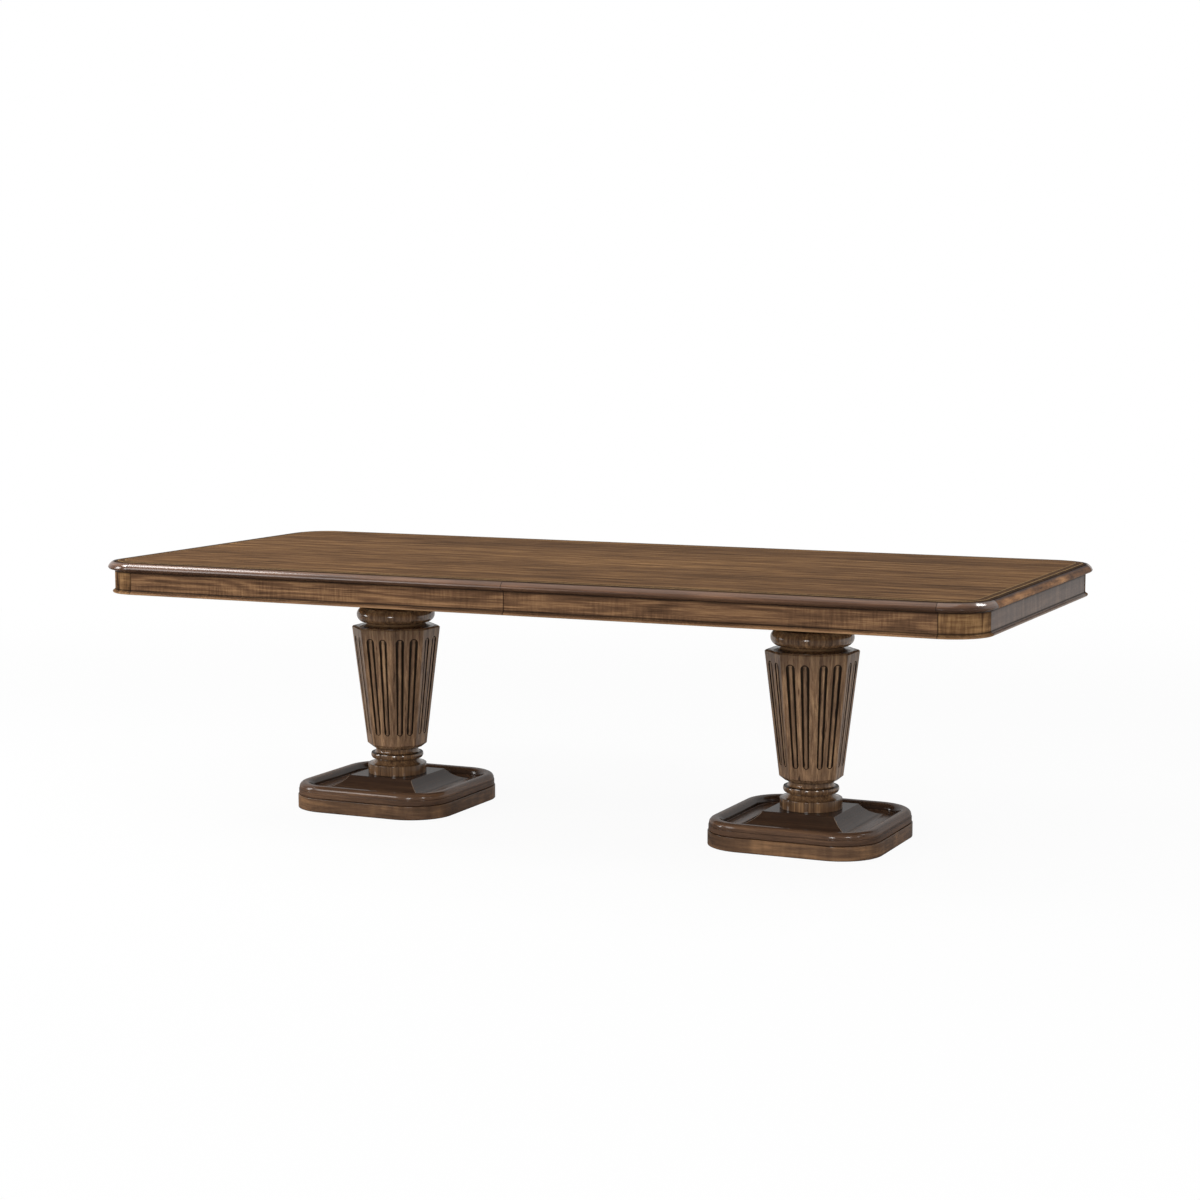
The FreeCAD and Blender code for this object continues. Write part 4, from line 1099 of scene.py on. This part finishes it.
@dataclass
class Pedestal(Assembly):
    """A pedestal: its turnings, its fluted column and its plinth."""

    centre: float = 0.665
    plinth_half: float = 0.252
    plinth_corner: float = 0.125
    glide: float = 0.002
    base_top: float = 0.042
    band_top: float = 0.059
    plateau: float = 0.093
    field_inner: float = 0.104
    field_outer: float = 0.172
    disc_top: float = 0.1225
    ring_bottom: float = 0.137
    quirk: float = 0.156
    column_bottom: float = 0.171
    shaft_bottom: float = 0.184
    shaft_top: float = 0.537
    column_top: float = 0.541
    base_radius: float = 0.0900
    head_radius: float = 0.1330
    throat: float = 0.5533
    torus_top: float = 0.5997

    def easings(self) -> dict[str, Easing]:
        """How the edges of the column and the plinth are eased.

        Returns:
            The easing of each of their nodes, by the node's name without its half.
        """
        return {
            "column": Easing(0.0012, "pedestal_wood"),
            "plinth_cap": Easing(0.0022, "plinth_wood", sharp=math.radians(16.0)),
            "plinth_base": Easing(0.0018, "plinth_wood"),
        }

    def finishes(self) -> dict[str, Finish]:
        """The finishes of the pedestal's woods, glides and fasteners.

        Returns:
            Each node's finish, by its name without its half.
        """
        turned = self.turned_finish()
        return {
            "cap_turning": turned,
            "column": self.column_finish(),
            "lower_turning": turned,
            "plinth_cap": self.cap_finish(),
            "plinth_base": self.base_finish(),
            "glides": GLIDE_PLASTIC,
            "tie_rod": STEEL,
            "tie_nuts": STEEL,
        }

    def plan(self) -> Outline:
        """The plinth's outline."""
        half = self.plinth_half
        return Outline(half, half, self.plinth_corner, self.centre)

    def column_finish(self) -> Wood:
        """The fluted column's wood, with painted shade in its flutes, foot and top.

        Returns:
            The finish.
        """
        flat = math.cos(math.pi / COLUMN_SIDES)
        flutes = FlutePaintedShade(
            self.centre, self.shaft_bottom, self.base_radius * flat,
            self.shaft_top, self.head_radius * flat, margin=0.018,
        )
        return Wood(
            "column_walnut", Grain.UPRIGHT,
            (0.044, 0.025, 0.015), (0.212, 0.123, 0.068), (0.50, 0.305, 0.160),
            figured(
                Streaks(1.5, 9.0, 0.45),
                Streaks(3.0, 70.0, 1.15),
                Streaks(4.5, 180.0, 1.1, 4.0, 0.62),
                Streaks(2.0, 100.0, 0.40, cut=(-0.12, -0.21)),
                stave_depth=0.25,
            ),
            Lacquer(0.34, 0.16),
            # Painted shade in the flutes and at the column's foot, and a painted shadow
            # of the table towards its top.
            (
                flutes,
                LevelTint(self.column_bottom, 0.004, 0.7),
                # Painted shadow of the table over the column's top.
                LevelTint(self.column_top, 0.075, 0.38, (0.060, 0.040, 0.028)),
            ),
            centre=self.centre, seed=6.0,
        )

    def turned_finish(self) -> Wood:
        """The turnings' wood, with painted shade in the quirks and a painted highlight
        in a cove.

        Returns:
            The finish.
        """
        return Wood(
            "turned_walnut", Grain.UPRIGHT,
            (0.032, 0.017, 0.010), (0.138, 0.076, 0.039), (0.37, 0.210, 0.098),
            figured(
                Streaks(2.0, 16.0, 0.4),
                Streaks(3.0, 95.0, 1.1),
                Streaks(4.0, 210.0, 1.0, 4.0, 0.62),
            ),
            Lacquer(0.60, 0.13), seed=7.0,
            # Painted shade in each quirk and crease, and a painted highlight in the
            # cove under the torus.
            tints=(
                LevelTint(self.torus_top, 0.0040, 0.9),
                # Painted highlight: a lighter band in the cove under the torus.
                LevelTint(self.throat - 0.0045, 0.0055, 0.60, (0.40, 0.240, 0.120)),
                LevelTint(self.column_top, 0.0025, 0.2),
                LevelTint(self.quirk, 0.0022, 0.85),
                LevelTint(self.ring_bottom, 0.0018, 0.85),
                LevelTint(self.disc_top, 0.0016, 0.5),
                LevelTint(self.plateau, 0.0030, 0.8),
            ),
        )

    def cap_finish(self) -> Wood:
        """The plinth cap's wood, with painted shade in its field, beside the rim and in
        the quirks, and painted highlights on the hips.

        Returns:
            The finish.
        """
        plan = self.plan()
        return Wood(
            "plinth_cap_walnut", Grain.ROUND_EDGE,
            (0.032, 0.017, 0.011), (0.104, 0.057, 0.034), (0.25, 0.136, 0.072),
            figured(
                Streaks(3.0, 12.0, 0.5),
                Streaks(4.0, 60.0, 0.9),
                Streaks(6.0, 160.0, 0.7, 4.0, 0.62),
            ),
            Lacquer(0.34, 0.17), outline=plan, seed=8.0,
            # Painted shade over the sunk field, beside the rim and in the quirks, and
            # painted highlights on the hips.
            tints=(
                InsetTint(
                    plan, inset=0.150, reach=0.115, depth=0.82,
                    above=self.band_top, colour=(0.026, 0.015, 0.011),
                ),
                InsetTint(
                    plan, inset=0.044, reach=0.018, depth=0.70,
                    above=self.band_top, colour=(0.018, 0.010, 0.007),
                ),
                HipPaintedHighlight(
                    self.centre, self.field_inner, self.field_outer,
                    reach=0.0024, depth=0.72, colour=(0.38, 0.285, 0.21),
                ),
                LevelTint(self.base_top, 0.0022, 0.32),
                LevelTint(self.band_top, 0.0022, 0.35),
            ),
        )

    def base_finish(self) -> Wood:
        """The plinth base's mottled wood, with painted shade in its quirk and at its
        foot.

        Returns:
            The finish.
        """
        return Wood(
            "plinth_base_walnut", Grain.ROUND_EDGE,
            (0.032, 0.017, 0.010), (0.128, 0.070, 0.038), (0.32, 0.174, 0.082),
            figured(
                Streaks(4.0, 9.0, 0.9),
                Streaks(6.0, 50.0, 0.9),
                Streaks(9.0, 150.0, 0.7, 4.0, 0.62),
                Streaks(30.0, 4.0, 0.7, 2.0, patchy=True),
            ),
            Lacquer(0.40, 0.18), outline=self.plan(), seed=9.0,
            # Painted shade in the quirk and a painted shadow along the foot.
            tints=(
                LevelTint(self.base_top, 0.0022, 0.27),
                LevelTint(self.glide, 0.0045, 0.7),
            ),
        )


@dataclass
class SlideGear:
    """The moving rails between the halves, and the pins and locks at the seam."""

    frame: dict[str, Any]
    materials: Materials

    def dress(self) -> None:
        """Gives each node its finish."""
        finishes: dict[str, Finish] = {
            "middle_rails": RAIL_WOOD,
            "right_alignment_pins": RAIL_WOOD,
            "left_lock_plates": STEEL,
            "left_lock_pivots": STEEL,
            "right_keepers": STEEL,
            "back_lock_lever": STEEL,
            "front_lock_lever": STEEL,
        }
        for name, finish in finishes.items():
            coat(self.frame["nodes"][name], self.materials.of(finish))
            LOG.info("%s: %s", name, finish.name)


@dataclass(frozen=True)
class Softbox:
    """A soft rectangular lamp, named for where it stands."""

    where: str
    place: Point
    aim: Point
    width: float
    height: float
    radiance: float

    def add(self) -> None:
        """Puts the lamp in the scene."""
        name = f"softbox_{self.where}"
        lamp = bpy.data.lights.new(name, "AREA")
        lamp.shape = "RECTANGLE"
        lamp.size = self.width
        lamp.size_y = self.height
        lamp.energy = self.radiance * math.pi * self.width * self.height
        holder = bpy.data.objects.new(name, lamp)
        bpy.context.scene.collection.objects.link(holder)
        holder.location = self.place
        towards = Vector(self.aim) - Vector(self.place)
        holder.rotation_euler = towards.to_track_quat("-Z", "Y").to_euler()


@dataclass
class Stage:
    """The pale floor, the white surroundings, the lamps and the camera.

    The floor glows in full from glow_full away. Each turn says where, along Y, what
    mirrors see begins to lighten and where it is lightest.
    """

    floor_half: float = 40.0
    floor_colour: Colour = (0.80, 0.80, 0.80)
    floor_glow: float = 0.945
    glow_start: float = 2.2
    glow_full: float = 6.0
    surround_light: float = 0.36
    mirrored_front: float = 0.15
    mirrored_back: float = 0.88
    softboxes: tuple[Softbox, ...] = (
        Softbox("left_of_camera", (0.93, -6.24, 1.7), (0.0, 0.0, 0.6), 1.1, 2.2, 13.0),
        Softbox("right_of_camera", (3.67, -3.03, 1.9), (0.4, 0.0, 0.6), 0.6, 1.5, 11.0),
        Softbox("far_left", (-4.8, -1.6, 1.7), (0.0, 0.0, 0.5), 0.9, 2.4, 9.0),
        Softbox("front_left", (-3.6, -4.1, 3.0), (-0.6, 0.0, 0.6), 2.6, 2.0, 5.0),
        Softbox("right_end", (4.6, -1.2, 1.9), (1.2, -0.4, 0.7), 0.3, 0.9, 7.5),
        Softbox("overhead", (-0.6, -0.9, 3.4), (-0.6, -0.6, 0.7), 4.6, 2.4, 0.84),
        Softbox("over_left", (-2.9, -0.9, 3.2), (-1.4, -0.5, 0.7), 0.9, 1.1, 14.0),
        Softbox("back_right", (2.8, 0.9, 3.2), (1.3, -0.4, 0.7), 1.0, 0.8, 12.0),
    )
    floor_turn: Span = (-0.3, 1.2)
    surround_turn: Span = (-0.1, 0.5)
    camera_place: Point = (2.96508, -6.40332, 1.45309)
    camera_turn: float = math.radians(24.753)
    camera_dip: float = math.radians(6.506)
    camera_roll: float = math.radians(-0.071)
    camera_lens: float = 73.517
    camera_sensor: float = 36.0
    camera_reach: float = 200.0

    def build(self) -> None:
        """Builds the whole stage."""
        self.add_floor()
        self.add_surroundings()
        for softbox in self.softboxes:
            softbox.add()
        self.add_camera()
        bpy.context.scene.view_settings.view_transform = "Standard"

    @staticmethod
    def rays(graph: Graph) -> tuple[Value, Value]:
        """What kind of ray meets a surface.

        Args:
            graph: The tree to build in.

        Returns:
            1 for rays that the camera sees, and 1 for those that a surface mirrors.
        """
        path = graph.node("ShaderNodeLightPath")
        names = ("Is Camera Ray", "Is Transmission Ray", "Is Glossy Ray")
        seen, through, mirrored = (Value(graph, path.outputs[name]) for name in names)
        return seen.math("MAXIMUM", through), mirrored

    def mirrored_light(self, along_y: Value, start: float, full: float) -> Value:
        """How bright mirrors see the surroundings, which are lighter behind the table.

        Args:
            along_y: A distance or direction along Y.
            start: Where the surroundings begin to lighten.
            full: Where they are at their lightest.

        Returns:
            The brightness.
        """
        rise = self.mirrored_back - self.mirrored_front
        return along_y.step(start, full) * rise + self.mirrored_front

    def add_floor(self) -> None:
        """Adds the floor, which glows, keeps a faint shadow and is clear from below."""
        bpy.ops.object.select_all(action="DESELECT")
        bpy.ops.mesh.primitive_plane_add(size=2 * self.floor_half)
        floor = bpy.context.active_object
        floor.name = "floor"
        made, graph = new_material("floor_paper")
        paper = graph.node("ShaderNodeBsdfDiffuse", {}, {"Color": self.floor_colour})
        x, y, _ = graph.place()
        seen, mirrored = self.rays(graph)
        brightness = seen + mirrored * self.mirrored_light(y, *self.floor_turn)
        tone = graph.vector(brightness, brightness, brightness)
        glow = graph.node("ShaderNodeEmission", {}, {"Color": tone})
        away = (x * x + y * y).math("SQRT").step(self.glow_start, self.glow_full)
        share = seen * (away * (1 - self.floor_glow) + self.floor_glow) + mirrored
        from_above = graph.node(
            "ShaderNodeMixShader",
            {},
            {0: share, 1: paper.outputs[0], 2: glow.outputs[0]},
        )
        clear = graph.node("ShaderNodeBsdfTransparent")
        underneath = graph.node("ShaderNodeNewGeometry").outputs["Backfacing"]
        mixed = graph.node(
            "ShaderNodeMixShader",
            {},
            {0: underneath, 1: from_above.outputs[0], 2: clear.outputs[0]},
        )
        graph.output(mixed)
        floor.data.materials.append(made)

    def add_surroundings(self) -> None:
        """Sets a world that looks white and lights the table softly."""
        world = bpy.data.worlds.new("studio")
        bpy.context.scene.world = world
        world.use_nodes = True
        graph = Graph(world.node_tree)
        seen, mirrored = self.rays(graph)
        _, y, _ = graph.place()
        lit = (1 - seen - mirrored) * self.surround_light
        strength = seen + mirrored * self.mirrored_light(y, *self.surround_turn) + lit
        light = graph.node(
            "ShaderNodeBackground", {}, {"Color": (1.0, 1.0, 1.0), "Strength": strength}
        )
        graph.output(light, "ShaderNodeOutputWorld")

    def add_camera(self) -> None:
        """Puts the camera where it sees the table as its picture shows it."""
        lens = bpy.data.cameras.new("camera")
        lens.lens = self.camera_lens
        lens.sensor_width = self.camera_sensor
        lens.sensor_fit = "HORIZONTAL"
        lens.clip_end = self.camera_reach
        camera = bpy.data.objects.new("camera", lens)
        bpy.context.scene.collection.objects.link(camera)
        turn_cos, turn_sin = math.cos(self.camera_turn), math.sin(self.camera_turn)
        roll_cos, roll_sin = math.cos(self.camera_roll), math.sin(self.camera_roll)
        flat = math.cos(self.camera_dip)
        ahead = Vector((-turn_sin * flat, turn_cos * flat, -math.sin(self.camera_dip)))
        right = Vector((turn_cos, turn_sin, 0.0))
        up = right.cross(ahead)
        rolled_right = right * roll_cos + up * roll_sin
        rolled_up = up * roll_cos - right * roll_sin
        turn = Matrix((rolled_right, rolled_up, -ahead)).transposed().to_4x4()
        camera.matrix_world = Matrix.Translation(self.camera_place) @ turn
        bpy.context.scene.camera = camera


def main() -> None:
    """Dresses the table and builds the stage."""
    logging.basicConfig(level=logging.INFO, format="%(message)s")
    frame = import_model()
    materials = Materials()
    for side in Side:
        for assembly in (HalfTop, UnderFrame, Pedestal):
            assembly(frame, materials, side).dress()
    SlideGear(frame, materials).dress()
    Stage().build()


if __name__ == "__main__":
    main()
